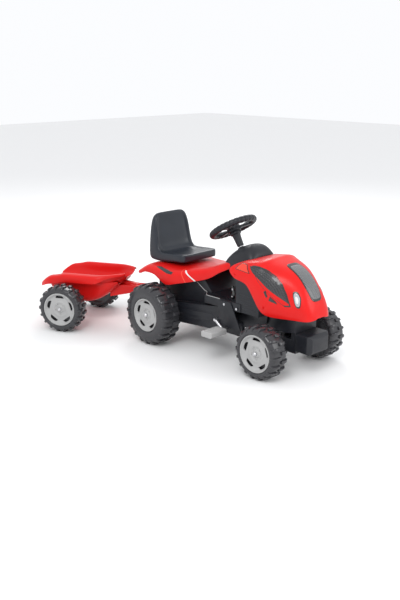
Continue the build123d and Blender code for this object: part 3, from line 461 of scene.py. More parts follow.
def trimmed(thing: Thing, planes: Iterable[tuple[Vector, Vector]]) -> Thing:
    """Cut away what lies in front of each plane, given as a point in metres and a normal."""
    for point, normal in planes:
        edit(thing)
        bpy.ops.mesh.bisect(plane_co=point, plane_no=normal, clear_outer=True)
        deselect()
    return thing


def patch(
    surface: Thing, name: str, outline: Sequence[Pair], flat: Callable[[float, float], Point],
    side: Vector, lift: float, wall: float = 2.0,
) -> Thing:
    """Cut a plate out of a surface along a convex outline.

    Args:
        surface: The sheet it follows.
        name: The plate's name.
        outline: Its corners in order, in either turning sense.
        flat: Turns an outline's pair into a point in millimetres.
        side: The direction from which the outline is seen.
        lift: How far the plate stands out, in millimetres.
        wall: Its thickness in millimetres.

    Returns:
        The plate.
    """
    plate = copy_of(surface, name)
    corners = [Vector(flat(*pair)) * MM for pair in outline]
    middle = sum(corners, Vector()) / len(corners)
    planes = []
    for here, there in zip(corners, corners[1:] + corners[:1]):
        normal = (there - here).cross(side)
        if normal.dot(middle - here) > 0:
            normal.negate()
        planes.append((here, normal.normalized()))
    trimmed(plate, planes)
    mesh = edit(plate, everything=False)
    for face in mesh.faces:
        face.select_set(face.normal.dot(side) < 0.05)
    bmesh.update_edit_mesh(plate.data)
    bpy.ops.mesh.delete(type="FACE")
    bpy.ops.mesh.select_all(action="SELECT")
    bpy.ops.mesh.dissolve_limited(angle_limit=math.radians(0.5))
    bpy.ops.transform.shrink_fatten(value=lift * MM)
    deselect()
    thicken(plate, wall)
    round_edges(plate, 0.5, 2, 40.0)
    return shade(plate)


def arch(
    base: Point, apex: Pair, power: float, bulge: float = 0.0, columns: int = 25
) -> list[Point]:
    """One row of a hood-like skin: a rounded arch from the left base over the top to the right.

    Args:
        base: The left base point.
        apex: (x, z) of the arch's top.
        power: Squareness; 2 is an ellipse and more is boxier.
        bulge: How far the arch's middle height leans back along X.
        columns: Number of points.

    Returns:
        The row's points.
    """
    row = []
    for i in range(columns):
        angle = math.pi * i / (columns - 1)
        across = math.copysign(abs(math.cos(angle)) ** (2 / power), math.cos(angle))
        height = math.sin(angle) ** (2 / power)
        row.append((
            base[0] + (apex[0] - base[0]) * height - bulge * math.sin(math.pi * height),
            base[1] * across,
            base[2] + (apex[1] - base[2]) * height,
        ))
    return row


def finish_piece(
    thing: Thing, finish: Finish, body: str, nodes: Sequence[str] = (), slot: str = ""
) -> Thing:
    """Dress a piece, ride it on its body and hide the CAD nodes that it stands for.

    Args:
        thing: The piece.
        finish: Its finish.
        body: The CAD body that it moves with.
        nodes: CAD nodes that it stands for.
        slot: The record's material slot, where it isn't the finish's usual one. Not used.

    Returns:
        The piece.
    """
    slot = slot or finish.slot
    thing.data.materials.clear()
    thing.data.materials.append(finish.material())
    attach(thing, body)
    if nodes:
        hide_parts(*nodes)
    LOG.info("%s: %d faces on %s", thing.name, len(thing.data.polygons), body)
    return thing


# ------------------------------------------------------------------ where things are


JOINTS = {joint["name"]: joint for joint in frame["record"]["behaviour"]["joints"]}
REAR_AXLE = Vector(JOINTS["rear_axle_spin"]["pos_m"])
DATUM = Matrix.Translation((REAR_AXLE.x, REAR_AXLE.y, 0))
HITCH = Vector(JOINTS["trailer_turn"]["pos_m"])
TOWED_AXIS = Vector(JOINTS["trailer_wheel_left_spin"]["axis"])
TOWED_MIDDLE = (
    Vector(JOINTS["trailer_wheel_left_spin"]["pos_m"])
    + Vector(JOINTS["trailer_wheel_right_spin"]["pos_m"])
) / 2
TRAILER = Matrix.Translation((TOWED_MIDDLE.x, TOWED_MIDDLE.y, 0)) @ Matrix.Rotation(
    math.atan2(-TOWED_AXIS.x, TOWED_AXIS.y), 4, "Z"
)
COLUMN = Vector(JOINTS["steering_turn"]["axis"])
COLUMN_TOP = Vector(JOINTS["steering_turn"]["pos_m"])


def node_copy(node: str, name: str, width: float, segments: int = 2) -> Thing:
    """Copy a CAD node with clean faces and rounded edges. width is in millimetres."""
    thing = copy_of(frame["nodes"][node], name)
    for key in list(thing.keys()):
        if key.startswith("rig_"):
            del thing[key]
    thing.parent = None
    thing.matrix_world = Matrix()
    edit(thing)
    bpy.ops.mesh.remove_doubles(threshold=0.00001)
    bpy.ops.mesh.dissolve_limited(angle_limit=math.radians(1.0))
    deselect()
    round_edges(thing, width, segments, 32.0)
    return shade(thing)


def soften(
    node: str, name: str, width: float, segments: int, finish: Finish, body: str
) -> Thing:
    """Let a copy of a CAD node with rounded edges stand for it. width is in millimetres."""
    return finish_piece(node_copy(node, name, width, segments), finish, body, [node])


def fix(
    thing: Thing, finish: Finish, nodes: Sequence[str] = (), slot: str = "", angle: float = 35.0
) -> Thing:
    """Fix a piece made in the tractor's own frame to the chassis.

    Args:
        thing: The piece.
        finish: Its finish.
        nodes: CAD nodes that it stands for.
        slot: The record's material slot, where it isn't the finish's usual one.
        angle: Edges sharper than this, in degrees, stay sharp.

    Returns:
        The piece in its place.
    """
    return finish_piece(moved(shade(thing, angle), DATUM), finish, "chassis", nodes, slot)


def section_row(x: float, side: Sequence[Pair], low: float) -> list[Point]:
    """A cross-section from its left half's (y, z) pairs, its lowest middle point and their mirror."""
    left = [(x, y, z) for y, z in side]
    right = [(x, -y, z) for y, z in reversed(side)]
    return [*left, (x, 0.0, low), *right]


def xz_face(y: float) -> Callable[[float, float], Point]:
    """Read an outline's pairs as X and Z at a given Y."""
    return lambda x, z: (x, y, z)


def nose_face(y: float, z: float) -> Point:
    """Read an outline's pairs as Y and Z on a plane that leans back over the nose."""
    return (690 + (z - 350) * -0.35, y, z)


def side_plate(
    surface: Thing, name: str, outline: Sequence[Pair], side: Side, reach: float, lift: float,
    wall: float,
) -> Thing:
    """Cut a plate out of a surface along an outline seen from one side.

    Args:
        surface: The sheet it follows.
        name: Start of the plate's name, which ends in the side's.
        outline: Its corners in x and z.
        side: The side from which they are seen.
        reach: How far from the middle plane they are drawn, in millimetres.
        lift: How far the plate stands out, in millimetres.
        wall: Its thickness in millimetres.

    Returns:
        The plate.
    """
    face = xz_face(side.value * reach)
    outer = Vector((0.0, side.value, 0))
    return patch(surface, f"{name}_{side.word}", outline, face, outer, lift, wall)


def rounded(outline: Sequence[Pair], radius: float, steps: int = 4) -> list[Pair]:
    """Round the corners of a convex outline.

    Args:
        outline: The corners.
        radius: The length cut from each side of a corner.
        steps: Points per corner.

    Returns:
        The rounded outline.
    """
    made = []
    for i, corner in enumerate(outline):
        here = Vector(corner)
        before = Vector(outline[i - 1]) - here
        after = Vector(outline[(i + 1) % len(outline)]) - here
        start = here + before.normalized() * min(radius, 0.45 * before.length)
        end = here + after.normalized() * min(radius, 0.45 * after.length)
        for k in range(steps + 1):
            t = k / steps
            point = start * (1 - t) ** 2 + here * 2 * t * (1 - t) + end * t * t
            made.append((point.x, point.y))
    return made


# ------------------------------------------------------------------ wheels


@dataclass
class Wheel:
    """A blow-moulded wheel with a slotted grey rim, made with its outer face along +Z.

    Attributes:
        radius: Over the lugs, in millimetres.
        width: Over both sidewalls.
        rim_radius: The rim's visible radius.
        lugs: Number of lugs in each row.
        bore: Radius of the hole for the axle.
        name: Start of the pieces' names.
        lug_height: How far the lugs stand out.
        steps: Facets around the wheel.
        tyre: The finished tyre, which copies are made from.
        rim: The finished rim, which copies are made from.
    """

    radius: float
    width: float
    rim_radius: float
    lugs: int
    bore: float
    name: str
    lug_height: float = 8.0
    steps: int = 96
    tyre: Thing | None = field(default=None, init=False)
    rim: Thing | None = field(default=None, init=False)

    @property
    def half(self) -> float:
        """Half the width."""
        return self.width / 2

    @property
    def tread(self) -> float:
        """Radius between the lugs."""
        return self.radius - self.lug_height

    def carcass(self) -> Thing:
        """Spin the tyre's rounded body."""
        half, tread, rim = self.half, self.tread, self.rim_radius
        floor = half - 20.0
        hub = 15.0
        profile = [
            (self.bore, floor), (self.bore, -half + 4), (hub, -half + 4), (hub + 1, -half + 10),
            (rim - 8, -half + 10), (rim - 2, -half + 8), (rim + 2, -half + 2.5), (rim + 5, -half + 0.6),
            (rim + 9, -half + 0.2), (tread - 10, -half + 1.5), (tread - 5, -half + 5),
            (tread - 1.5, -half + 10), (tread, -half + 17), (tread + 0.6, 0), (tread, half - 17),
            (tread - 1.5, half - 10), (tread - 5, half - 5), (tread - 10, half - 1.5),
            (rim + 9, half - 0.2), (rim + 5, half - 0.6), (rim + 2, half - 2.5), (rim, half - 5),
            (rim, floor - 6), (hub, floor - 6), (hub, floor),
        ]
        return lathe(f"{self.name}_carcass", profile, self.steps)

    def lug(self) -> Thing:
        """Model one lug of the outer row: a rounded bar that wraps over the shoulder."""
        half, tread, top = self.half, self.tread, self.radius
        thick = 0.3 * math.tau * self.radius / self.lugs
        outline = [
            (tread - 5, 2.0), (top - 1.2, 2.0), (top, 5.0), (top, half - 19), (top - 2.2, half - 10),
            (top - 6.5, half - 4.5), (tread - 6.5, half), (tread - 15.0, half - 0.2),
            (tread - 15.0, half - 4.5), (tread - 7, half - 14),
        ]
        bar = prism("lug", [(x, -thick / 2, z) for x, z in outline], (0, thick, 0))
        mesh = edit(bar, everything=False)
        for vertex in mesh.verts:
            squeeze = 1.25 - 0.45 * max(0.0, vertex.co.z / (half * MM)) ** 2
            vertex.co.y *= squeeze
            vertex.co.y += 0.10 * thick * MM * (vertex.co.z / (half * MM))
        bmesh.update_edit_mesh(bar.data)
        deselect()
        return round_edges(bar, 1.8, 2, 25.0)

    def build_tyre(self) -> Thing:
        """Join the body and both rows of lugs."""
        outer = self.lug()
        inner = copy_of(outer, "lug_in", Matrix.Diagonal((1, 1, -1, 1)))
        step = math.tau / self.lugs
        parts = [self.carcass()]
        for i in range(self.lugs):
            parts.append(copy_of(outer, f"lug_{i}", Matrix.Rotation(i * step, 4, "Z")))
            parts.append(copy_of(inner, f"lug_in_{i}", Matrix.Rotation((i + 0.5) * step, 4, "Z")))
        for spare in (outer, inner):
            bpy.data.objects.remove(spare)
        self.tyre = shade(merged(parts, f"{self.name}_tyre_skin"), 40.0)
        return self.tyre

    def build_rim(self) -> Thing:
        """Spin the dished rim, cut its slots and add the hub's bolts."""
        top, rim = self.half - 1.0, self.rim_radius
        floor = top - 16.0
        hub = 0.44 * rim
        edge = rim - 0.6
        profile = [
            (self.bore, floor - 3), (hub + 4, floor - 3), (edge - 16, floor), (edge - 6, top - 9),
            (edge - 2, top - 10), (edge, top - 9), (edge, top - 3), (edge - 1, top - 0.8),
            (edge - 3, top), (edge - 5.5, top - 0.8), (edge - 7, top - 3.5), (edge - 10, top - 8),
            (edge - 14, floor + 5), (edge - 20, floor + 3.4), (hub + 7, floor + 3),
            (hub + 2, floor + 5.4), (hub - 1, floor + 6), (hub - 4, floor + 5.6),
            (hub - 9, floor + 2), (0.26 * rim, floor + 1.2), (0.21 * rim, floor + 3),
            (0.18 * rim, floor + 6), (self.bore + 2, floor + 6.4), (self.bore, floor + 6),
        ]
        dish = lathe(f"{self.name}_rim_skin", profile, self.steps)
        slots = []
        for i in range(5):
            angle = math.radians(72 * i + 18)
            outline = rounded(
                [(0.66 * rim, -0.29 * rim), (0.82 * rim, -0.2 * rim),
                 (0.85 * rim, 0.0), (0.82 * rim, 0.2 * rim), (0.66 * rim, 0.29 * rim)], 4.0, 3)
            slot = prism("slot", [(x, y, floor - 20) for x, y in outline], (0, 0, 60))
            slots.append(moved(slot, Matrix.Rotation(angle, 4, "Z")))
        carved(dish, merged(slots, "slots"))
        studs = []
        for i in range(5):
            angle = math.radians(72 * i + 54)
            x, y = 0.34 * rim * math.cos(angle), 0.34 * rim * math.sin(angle)
            stud = post("stud", (x, y, floor - 1), (x, y, floor + 6.4), (4.4, 3.2), 20)
            studs.append(round_edges(stud, 0.8, 2, 40.0))
        self.rim = shade(merged([dish, *studs], f"{self.name}_rim_skin"), 30.0)
        return self.rim

    def place(self, body: str, node: str, place: Matrix) -> None:
        """Put copies of the tyre and the rim on a body.

        Args:
            body: The CAD body.
            node: Start of the CAD nodes' names, such as front_left.
            place: From the wheel's own frame to the row's.
        """
        tyre = copy_of(self.tyre, f"{node}_tyre_skin", place)
        finish_piece(tyre, TYRE, body, [f"{node}_tyre"])
        rim = copy_of(self.rim, f"{node}_rim_skin", place)
        finish_piece(rim, GREY, body, [f"{node}_rim"])

    def clear(self) -> None:
        """Remove the patterns that the copies were made from."""
        for thing in (self.tyre, self.rim):
            bpy.data.objects.remove(thing)


def wheel_matrix(centre: Vector, axis: Vector, sign: int) -> Matrix:
    """Turn a wheel's +Z to the outside of its axle.

    Args:
        centre: The wheel's middle.
        axis: The axle's direction, to the left.
        sign: 1 on the left and -1 on the right.

    Returns:
        The wheel's place.
    """
    outer = axis * sign
    turn = outer.to_track_quat("Z", "Y").to_matrix().to_4x4()
    return Matrix.Translation(centre) @ turn


def build_wheels() -> None:
    """Build all six wheels."""
    rear = Wheel(136.0, 102.0, 75.0, 20, 6.4, "rear")
    rear.build_tyre()
    rear.build_rim()
    front = Wheel(110.0, 85.0, 78.0, 18, 5.4, "front")
    front.build_tyre()
    front.build_rim()
    for side in Side:
        word = side.word
        low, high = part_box(f"rear_{word}_tyre")
        middle = (Vector(low) + Vector(high)) / 2
        middle.z = REAR_AXLE.z
        rear.place("rear_wheels", f"rear_{word}", wheel_matrix(middle, Vector((0, 1, 0)), side.value))
        for end in ("front", "trailer"):
            spin = JOINTS[f"{end}_wheel_{word}_spin"]
            place = wheel_matrix(Vector(spin["pos_m"]), Vector(spin["axis"]), side.value)
            front.place(f"{end}_wheel_{word}", f"{end}_{word}", place)
    rear.clear()
    front.clear()


# ------------------------------------------------------------------ hood


@dataclass
class Hood:
    """The red engine hood with its printed panels and lamps, in the tractor's frame.

    Attributes:
        ribs: One row per arch: base (x, half width, z), apex (x, z), squareness and lean.
        wall: Wall thickness.
        window: The side window's outer outline in x and z.
        glass: The outline of its dark glass.
        vent: The upper vent's outline.
        chevrons: Outlines of the two dark bars below the glass.
        lamp: The headlamp's outline.
        surface: The outer skin, which the side plates are cut from.
    """

    ribs: Sequence[tuple[Point, Pair, float, float]] = (
        ((430, 139.8, 366), (463, 440), 3.4, 42), ((445, 139.8, 364), (475, 442.5), 3.4, 30),
        ((470, 139.8, 360), (496, 446), 3.4, 14), ((496, 139.8, 355), (520, 450), 3.3, 5),
        ((513, 139.8, 338), (540, 453.5), 3.3, 0), ((530, 139.8, 315), (554, 455), 3.3, 0),
        ((549, 139.8, 287), (566, 450), 3.2, 0), ((568, 139.8, 262), (582, 445), 3.2, 0),
        ((588, 138.6, 248), (602, 439), 3.2, 0), ((606, 132.5, 241.5), (626, 430.5), 3.1, 0),
        ((630, 120, 237.5), (649, 421.5), 3.1, 0), ((655, 106, 236), (671, 409.5), 3.0, 0),
        ((680, 94, 235.5), (691, 394.5), 3.0, 0), ((705, 84.5, 235.5), (708, 377), 2.9, 0),
        ((728, 79, 235.5), (725, 356), 2.9, 0), ((745, 74, 236), (739, 332), 2.9, 0),
        ((757, 67.5, 236.5), (751, 308), 2.8, 0), ((765, 58, 237.5), (760, 289), 2.8, 0),
        ((769.5, 46, 239), (766, 271), 2.7, 0), ((771.5, 33, 241), (769.5, 257), 2.5, 0),
        ((772, 27, 242), (771.5, 245), 2.4, 0),
    )
    wall: float = 3.5
    window: Sequence[Pair] = (
        (492, 424), (520, 430), (545, 430), (584, 419), (622, 402), (652, 375), (674, 336),
        (692, 288), (660, 287), (622, 299), (597, 328), (556, 367), (527, 397),
    )
    glass: Sequence[Pair] = (
        (497, 424), (520, 427), (545, 427), (583, 416), (620, 399), (649, 373), (671, 335),
        (690, 290), (683, 289.5), (640, 310), (590, 350), (524, 406),
    )
    vent: Sequence[Pair] = ((452, 430), (486, 428), (514, 398), (433, 405))
    chevrons: Sequence[Sequence[Pair]] = (
        ((611, 307), (643, 295), (638, 305), (616, 324)),
        ((588, 339), (596, 345), (607, 322), (601, 317)),
    )
    lamp: Sequence[Pair] = (
        (691, 350), (706, 349), (723, 326), (728, 300), (727, 287), (712, 287), (703, 306), (693, 334),
    )
    surface: Thing | None = field(default=None, init=False)

    def build_skin(self) -> Thing:
        """Mould the hood's outer skin and give it its wall."""
        rows = [arch(base, apex, power, lean, 33) for base, apex, power, lean in self.ribs]
        skin = sheet("hood_skin", rows)
        edit(skin)
        bpy.ops.mesh.normals_make_consistent(inside=False)
        smooth(face_skyward(skin), 1)
        self.surface = copy_of(skin, "hood_surface")
        thicken(skin, self.wall)
        carved(skin, self.dash_cut())
        round_edges(skin, 1.2, 2, 50.0)
        return fix(skin, RED, ["hood_shell"], angle=40.0)

    def dash_cut(self) -> Thing:
        """The opening around the dashboard cover."""
        outline = rounded([(380, -88), (474, -78), (474, 78), (380, 88)], 26.0, 6)
        return prism("dash_cut", [(x, y, 400) for x, y in outline], (0, 0, 120))

    def side_plates(self) -> None:
        """Cut the windows, vents and lamps out of the hood's surface, on both sides."""
        rows = (
            ("window_rim", rounded(self.window, 5.0), 0.8, 0.8, BLACK, ()),
            ("window_field", rounded(self.shrunk(self.window, 0.93), 4.0), 1.2, 1.0, RED, ()),
            ("window_trim", self.glass, 1.6, 1.2, BLACK, ()),
            ("side_window", self.shrunk(self.glass, 0.92), 2.1, 1.2, WINDOW, ("side_windows",)),
            *((f"window_chevron_{i}", bar, 1.5, 1.0, BLACK, ())
              for i, bar in enumerate(self.chevrons)),
            ("vent_rim", rounded(self.vent, 4.0), 1.0, 1.0, BLACK, ()),
            ("upper_vent", rounded(self.shrunk(self.vent, 0.86), 3.0), 1.7, 1.2, VENT,
             ("upper_vents",)),
            ("lamp_rim", rounded(self.lamp, 9.0), 1.2, 1.2, BLACK, ()),
            ("lamp", rounded(self.shrunk(self.lamp, 0.8), 7.0), 2.4, 1.6, LENS, ("headlamps",)),
            ("lamp_core", rounded(self.shrunk(self.lamp, 0.42), 6.0), 3.4, 1.0, STRIPE, ()),
        )
        for side in Side:
            for name, outline, lift, wall, finish, nodes in rows:
                fix(side_plate(self.surface, name, outline, side, 150, lift, wall), finish, nodes)

    @staticmethod
    def shrunk(outline: Sequence[Pair], share: float) -> list[Pair]:
        """Scale an outline about its middle."""
        x = sum(p[0] for p in outline) / len(outline)
        z = sum(p[1] for p in outline) / len(outline)
        return [(x + (p[0] - x) * share, z + (p[1] - z) * share) for p in outline]

    def nose_panel(self) -> None:
        """Cut the grille and its frame out of the nose."""
        corners = [(-29, 293), (-37, 350), (-37, 450), (37, 450), (37, 350), (29, 293)]
        frame_line = rounded(corners, 20, 6)
        inner = self.shrunk(frame_line, 0.88)
        ahead = Vector((1, 0, 0.35)).normalized()
        rim = patch(self.surface, "grille_rim", frame_line, nose_face, ahead, 1.4, 1.6)
        fix(rim, BLACK, ["grille_frame"], "charcoal_plastic")
        panel = patch(self.surface, "grille_mesh_panel", inner, nose_face, ahead, 2.2, 1.4)
        fix(panel, GRILLE, ["grille_panel"])

    def build(self) -> None:
        """Build every piece of the hood."""
        self.build_skin()
        self.side_plates()
        self.nose_panel()
        bpy.data.objects.remove(self.surface)


# ------------------------------------------------------------------ dashboard and steering


@dataclass
class Dashboard:
    """The dark domed cover around the steering column, in the tractor's frame.

    Attributes:
        crown: (x, z) of each arch's top, from the rear to the hood.
        half: Half width.
        base: Height of the lower edge.
    """

    crown: Sequence[Pair] = (
        (300, 380), (294, 396), (304, 414), (322, 433), (346, 454), (372, 472), (396, 482),
        (416, 485.5), (434, 482), (449, 473.5), (461, 461), (469, 447), (471, 425),
    )
    half: float = 83.5
    base: float = 373.0

    def build(self) -> Thing:
        """Mould the dome from arches and give it its wall."""
        rows = []
        for i, (x, z) in enumerate(self.crown):
            swell = math.sin(math.pi * min(1.0, (i + 1.5) / 6) / 2)
            rows.append(arch((max(x, 301 + 3 * i), self.half * swell, self.base), (x, z), 2.9))
        dome = sheet("dashboard_skin", rows)
        smooth(thicken(face_skyward(dome), 3.0), 2)
        return fix(dome, CHARCOAL, ["dashboard_cover"])


@dataclass
class SteeringWheel:
    """The grip ring, its spokes, hub and button, made about Z at the column's top.

    Attributes:
        ring: Radius of the grip's centre line.
        grip: Radius of the grip.
        grooves: Number of finger grooves.
        spokes: The spokes' directions in degrees from the driver.
    """

    ring: float = 93.0
    grip: float = 14.0
    grooves: int = 28
    spokes: Sequence[float] = (0.0, 110.0, 250.0)

    def grip_ring(self) -> Thing:
        """A torus pinched into finger grooves along its inner half."""
        deselect()
        bpy.ops.mesh.primitive_torus_add(
            major_segments=self.grooves * 6, minor_segments=24,
            major_radius=self.ring * MM, minor_radius=self.grip * MM)
        ring = bpy.context.object
        for vertex in ring.data.vertices:
            angle = math.atan2(vertex.co.y, vertex.co.x)
            core = Vector((math.cos(angle), math.sin(angle), 0)) * self.ring * MM
            pinch = 0.5 - 0.5 * math.cos(angle * self.grooves)
            vertex.co = core + (vertex.co - core) * (1 - 0.13 * (1 - pinch) ** 6)
        return settle(ring, "grip_ring")

    def spoke(self, angle: float) -> Thing:
        """A flat spoke that widens towards the hub."""
        outline = [(18, -15), (50, -9.5), (84, -12), (84, 12), (50, 9.5), (18, 15)]
        bar = prism("spoke", [(x, y, -11) for x, y in outline], (0, 0, 9))
        bar = round_edges(bar, 2.6, 3, 30.0)
        return moved(bar, Matrix.Rotation(math.radians(angle), 4, "Z"))

    def hub(self) -> Thing:
        """The dished hub with the well for the button."""
        profile = [
            (7.2, -22), (26, -22), (29, -20), (30.4, -8), (29.5, -1), (27, 2.6), (23, 3.4),
            (19.5, 2.4), (17.7, 0), (17.6, -8.5), (7.2, -8.5),
        ]
        return lathe("hub", profile, 64)

    def build(self) -> None:
        """Build the wheel, its button, the collar below it and the flange at the column's foot."""
        back = Vector((-COLUMN.z, 0, COLUMN.x)).normalized()
        turn = Matrix((back, COLUMN.cross(back), COLUMN)).transposed().to_4x4()
        place = Matrix.Translation(COLUMN_TOP) @ turn
        parts = [self.grip_ring(), self.hub(), *map(self.spoke, self.spokes)]
        cap = [(0.01, -4.6), (16.4, -4.6), (16.4, 0.5), (15, 2.4), (9, 3.3), (0.01, 3.6)]
        foot = [(7.6, -93), (14.4, -93), (16.6, -95), (19.5, -106), (25, -117), (32, -122),
                (32, -126), (7.6, -126)]
        collar = [(7.2, -23), (24, -23), (25.2, -26), (24.0, -33), (19.0, -36), (17.0, -46),
                  (14.6, -82), (14.2, -87), (12.6, -88), (7.2, -88)]
        for thing, finish, body, nodes in (
            (merged(parts, "steering_grip"), CHARCOAL, "steering", ("steering_wheel",)),
            (lathe("horn_cap", cap, 48), SEAT_CHARCOAL, "horn", ("horn_button",)),
            (lathe("column_boss", foot, 64), CHARCOAL, "chassis", ()),
            (lathe("collar_skin", collar, 64), CHARCOAL, "steering", ("steering_collar",)),
        ):
            finish_piece(shade(moved(thing, place)), finish, body, nodes)


# ------------------------------------------------------------------ seat and saddle


@dataclass
class Saddle:
    """The red seat base with its half fenders, in the tractor's frame.

    Attributes:
        ribs: One row per arch: x, half width, lower edge and top, all in millimetres.
    """

    ribs: Sequence[tuple[float, float, float, float]] = (
        (-161.5, 146, 287, 292), (-158, 153, 286, 300), (-140, 159, 284, 312), (-118, 163, 294, 325),
        (-96, 166, 303, 337), (-78, 167.5, 304, 344), (-50, 167.8, 304, 344.8),
        (-28, 167.8, 302, 344.8), (-8, 167.8, 290, 344.8), (12, 167.8, 280, 344.8),
        (34, 167.8, 271, 344.8), (50, 167.5, 267.5, 344.8), (72, 165, 273, 344.8),
        (100, 156, 281, 345), (135, 143, 289, 349.5), (175, 126, 299, 357),
        (215, 110, 310, 365.5), (245, 100, 320, 374), (275, 97.5, 338, 386),
        (305, 96, 358, 398.5), (330, 93, 369, 407), (352, 86, 380, 410.5), (359, 78, 388, 407),
    )

    def build(self) -> Thing:
        """Mould the saddle and give it its wall."""
        rows = [
            arch((x, half, low), (x, high), 5.0, 0.0, 33) for x, half, low, high in self.ribs
        ]
        skin = sheet("saddle_skin", rows)
        smooth(face_skyward(skin), 1)
        surface = copy_of(skin, "saddle_surface")
        thicken(skin, 3.5)
        round_edges(skin, 1.2, 2, 50.0)
        fix(skin, RED, ["rear_body"], angle=40.0)
        self.decals(surface)
        bpy.data.objects.remove(surface)
        return skin

    def decals(self, surface: Thing) -> None:
        """Lay plain printed flashes on both fenders."""
        flashes = (
            ("flash_dark", [(-31, 337), (-6, 338), (79, 328), (75, 318), (48, 319)], BLACK),
            ("flash_light", [(128, 342), (139, 341), (196, 297), (191, 294)], STRIPE),
            ("flash_thin", [(112, 344), (116, 345), (150, 280), (145, 280)], VENT),
        )
        for side in Side:
            for name, outline, finish in flashes:
                fix(side_plate(surface, name, outline, side, 170, 0.5, 0.5), finish)


@dataclass
class Seat:
    """The one-piece seat with its rolled edge, in the tractor's frame.

    Attributes:
        spine: Stations from the front lip to the top of the back: the sitting surface's (x, z),
            the underside's (x, z), half width and how deep the middle is dished.
        section: A station's outline as (share of half width, share of thickness, dish share).
    """

    spine: Sequence[tuple[Pair, Pair, float, float]] = (
        ((96, 385), (96, 372), 72, 0.0), ((95.6, 390), (95.6, 366.5), 84, 0.0),
        ((93, 394.6), (93, 363), 94, 0.1), ((87.5, 396), (87.5, 361.5), 101, 0.8),
        ((79, 396), (79, 361), 106.5, 2.2), ((66, 395.3), (66, 360.5), 109.6, 4.2),
        ((25, 392.5), (25, 358), 110, 6.5),
        ((-15, 389.5), (-15, 351), 110, 7.5), ((-42, 388.5), (-58, 346.5), 110, 8.0),
        ((-57, 391.5), (-95, 346), 110, 8.5), ((-68, 401), (-122, 348), 110, 9.0),
        ((-76, 418), (-132, 366), 109.5, 9.0), ((-82, 445), (-132.5, 405), 108, 8.5),
        ((-88, 480), (-130, 455), 105.5, 8.5), ((-93.5, 510), (-128, 495), 102, 8.0),
        ((-98, 532), (-125.5, 526), 96, 5.5), ((-101.5, 545), (-123, 542), 88, 3.0),
        ((-105, 553), (-119.5, 551), 77, 1.0), ((-109, 557), (-115.5, 556), 66, 0.0),
    )
    section: Sequence[tuple[float, float, float]] = (
        (0.0, 1.0, 1.0), (0.4, 1.0, 0.97), (0.68, 1.0, 0.85), (0.79, 1.0, 0.6), (0.85, 1.0, 0.12),
        (0.91, 1.0, -0.1), (0.965, 0.98, 0.0), (0.995, 0.86, 0.0), (1.0, 0.6, 0.0),
        (1.0, 0.25, 0.0), (0.985, 0.06, 0.0), (0.94, 0.0, 0.0), (0.5, 0.0, 0.0),
    )

    def station(self, top: Pair, under: Pair, half: float, dish: float) -> list[Point]:
        """The closed outline of one station."""
        top, under = Vector(top), Vector(under)
        rise = top - under
        outline = []
        for share, height, sink in self.section:
            place = under + rise * height - rise.normalized() * dish * sink
            outline.append((place.x, share * half, place.y))
        base = [(under.x, 0.0, under.y)]
        return [*outline, *base, *[(x, -y, z) for x, y, z in reversed(outline[1:])]]

    def build(self) -> Thing:
        """Loft the stations, smooth them and dress the seat."""
        seat = tube("seat_skin", [self.station(*place) for place in self.spine])
        smooth(seat, 2)
        return fix(seat, SEAT_CHARCOAL, ["seat"], angle=60.0)


# ------------------------------------------------------------------ chassis and drive


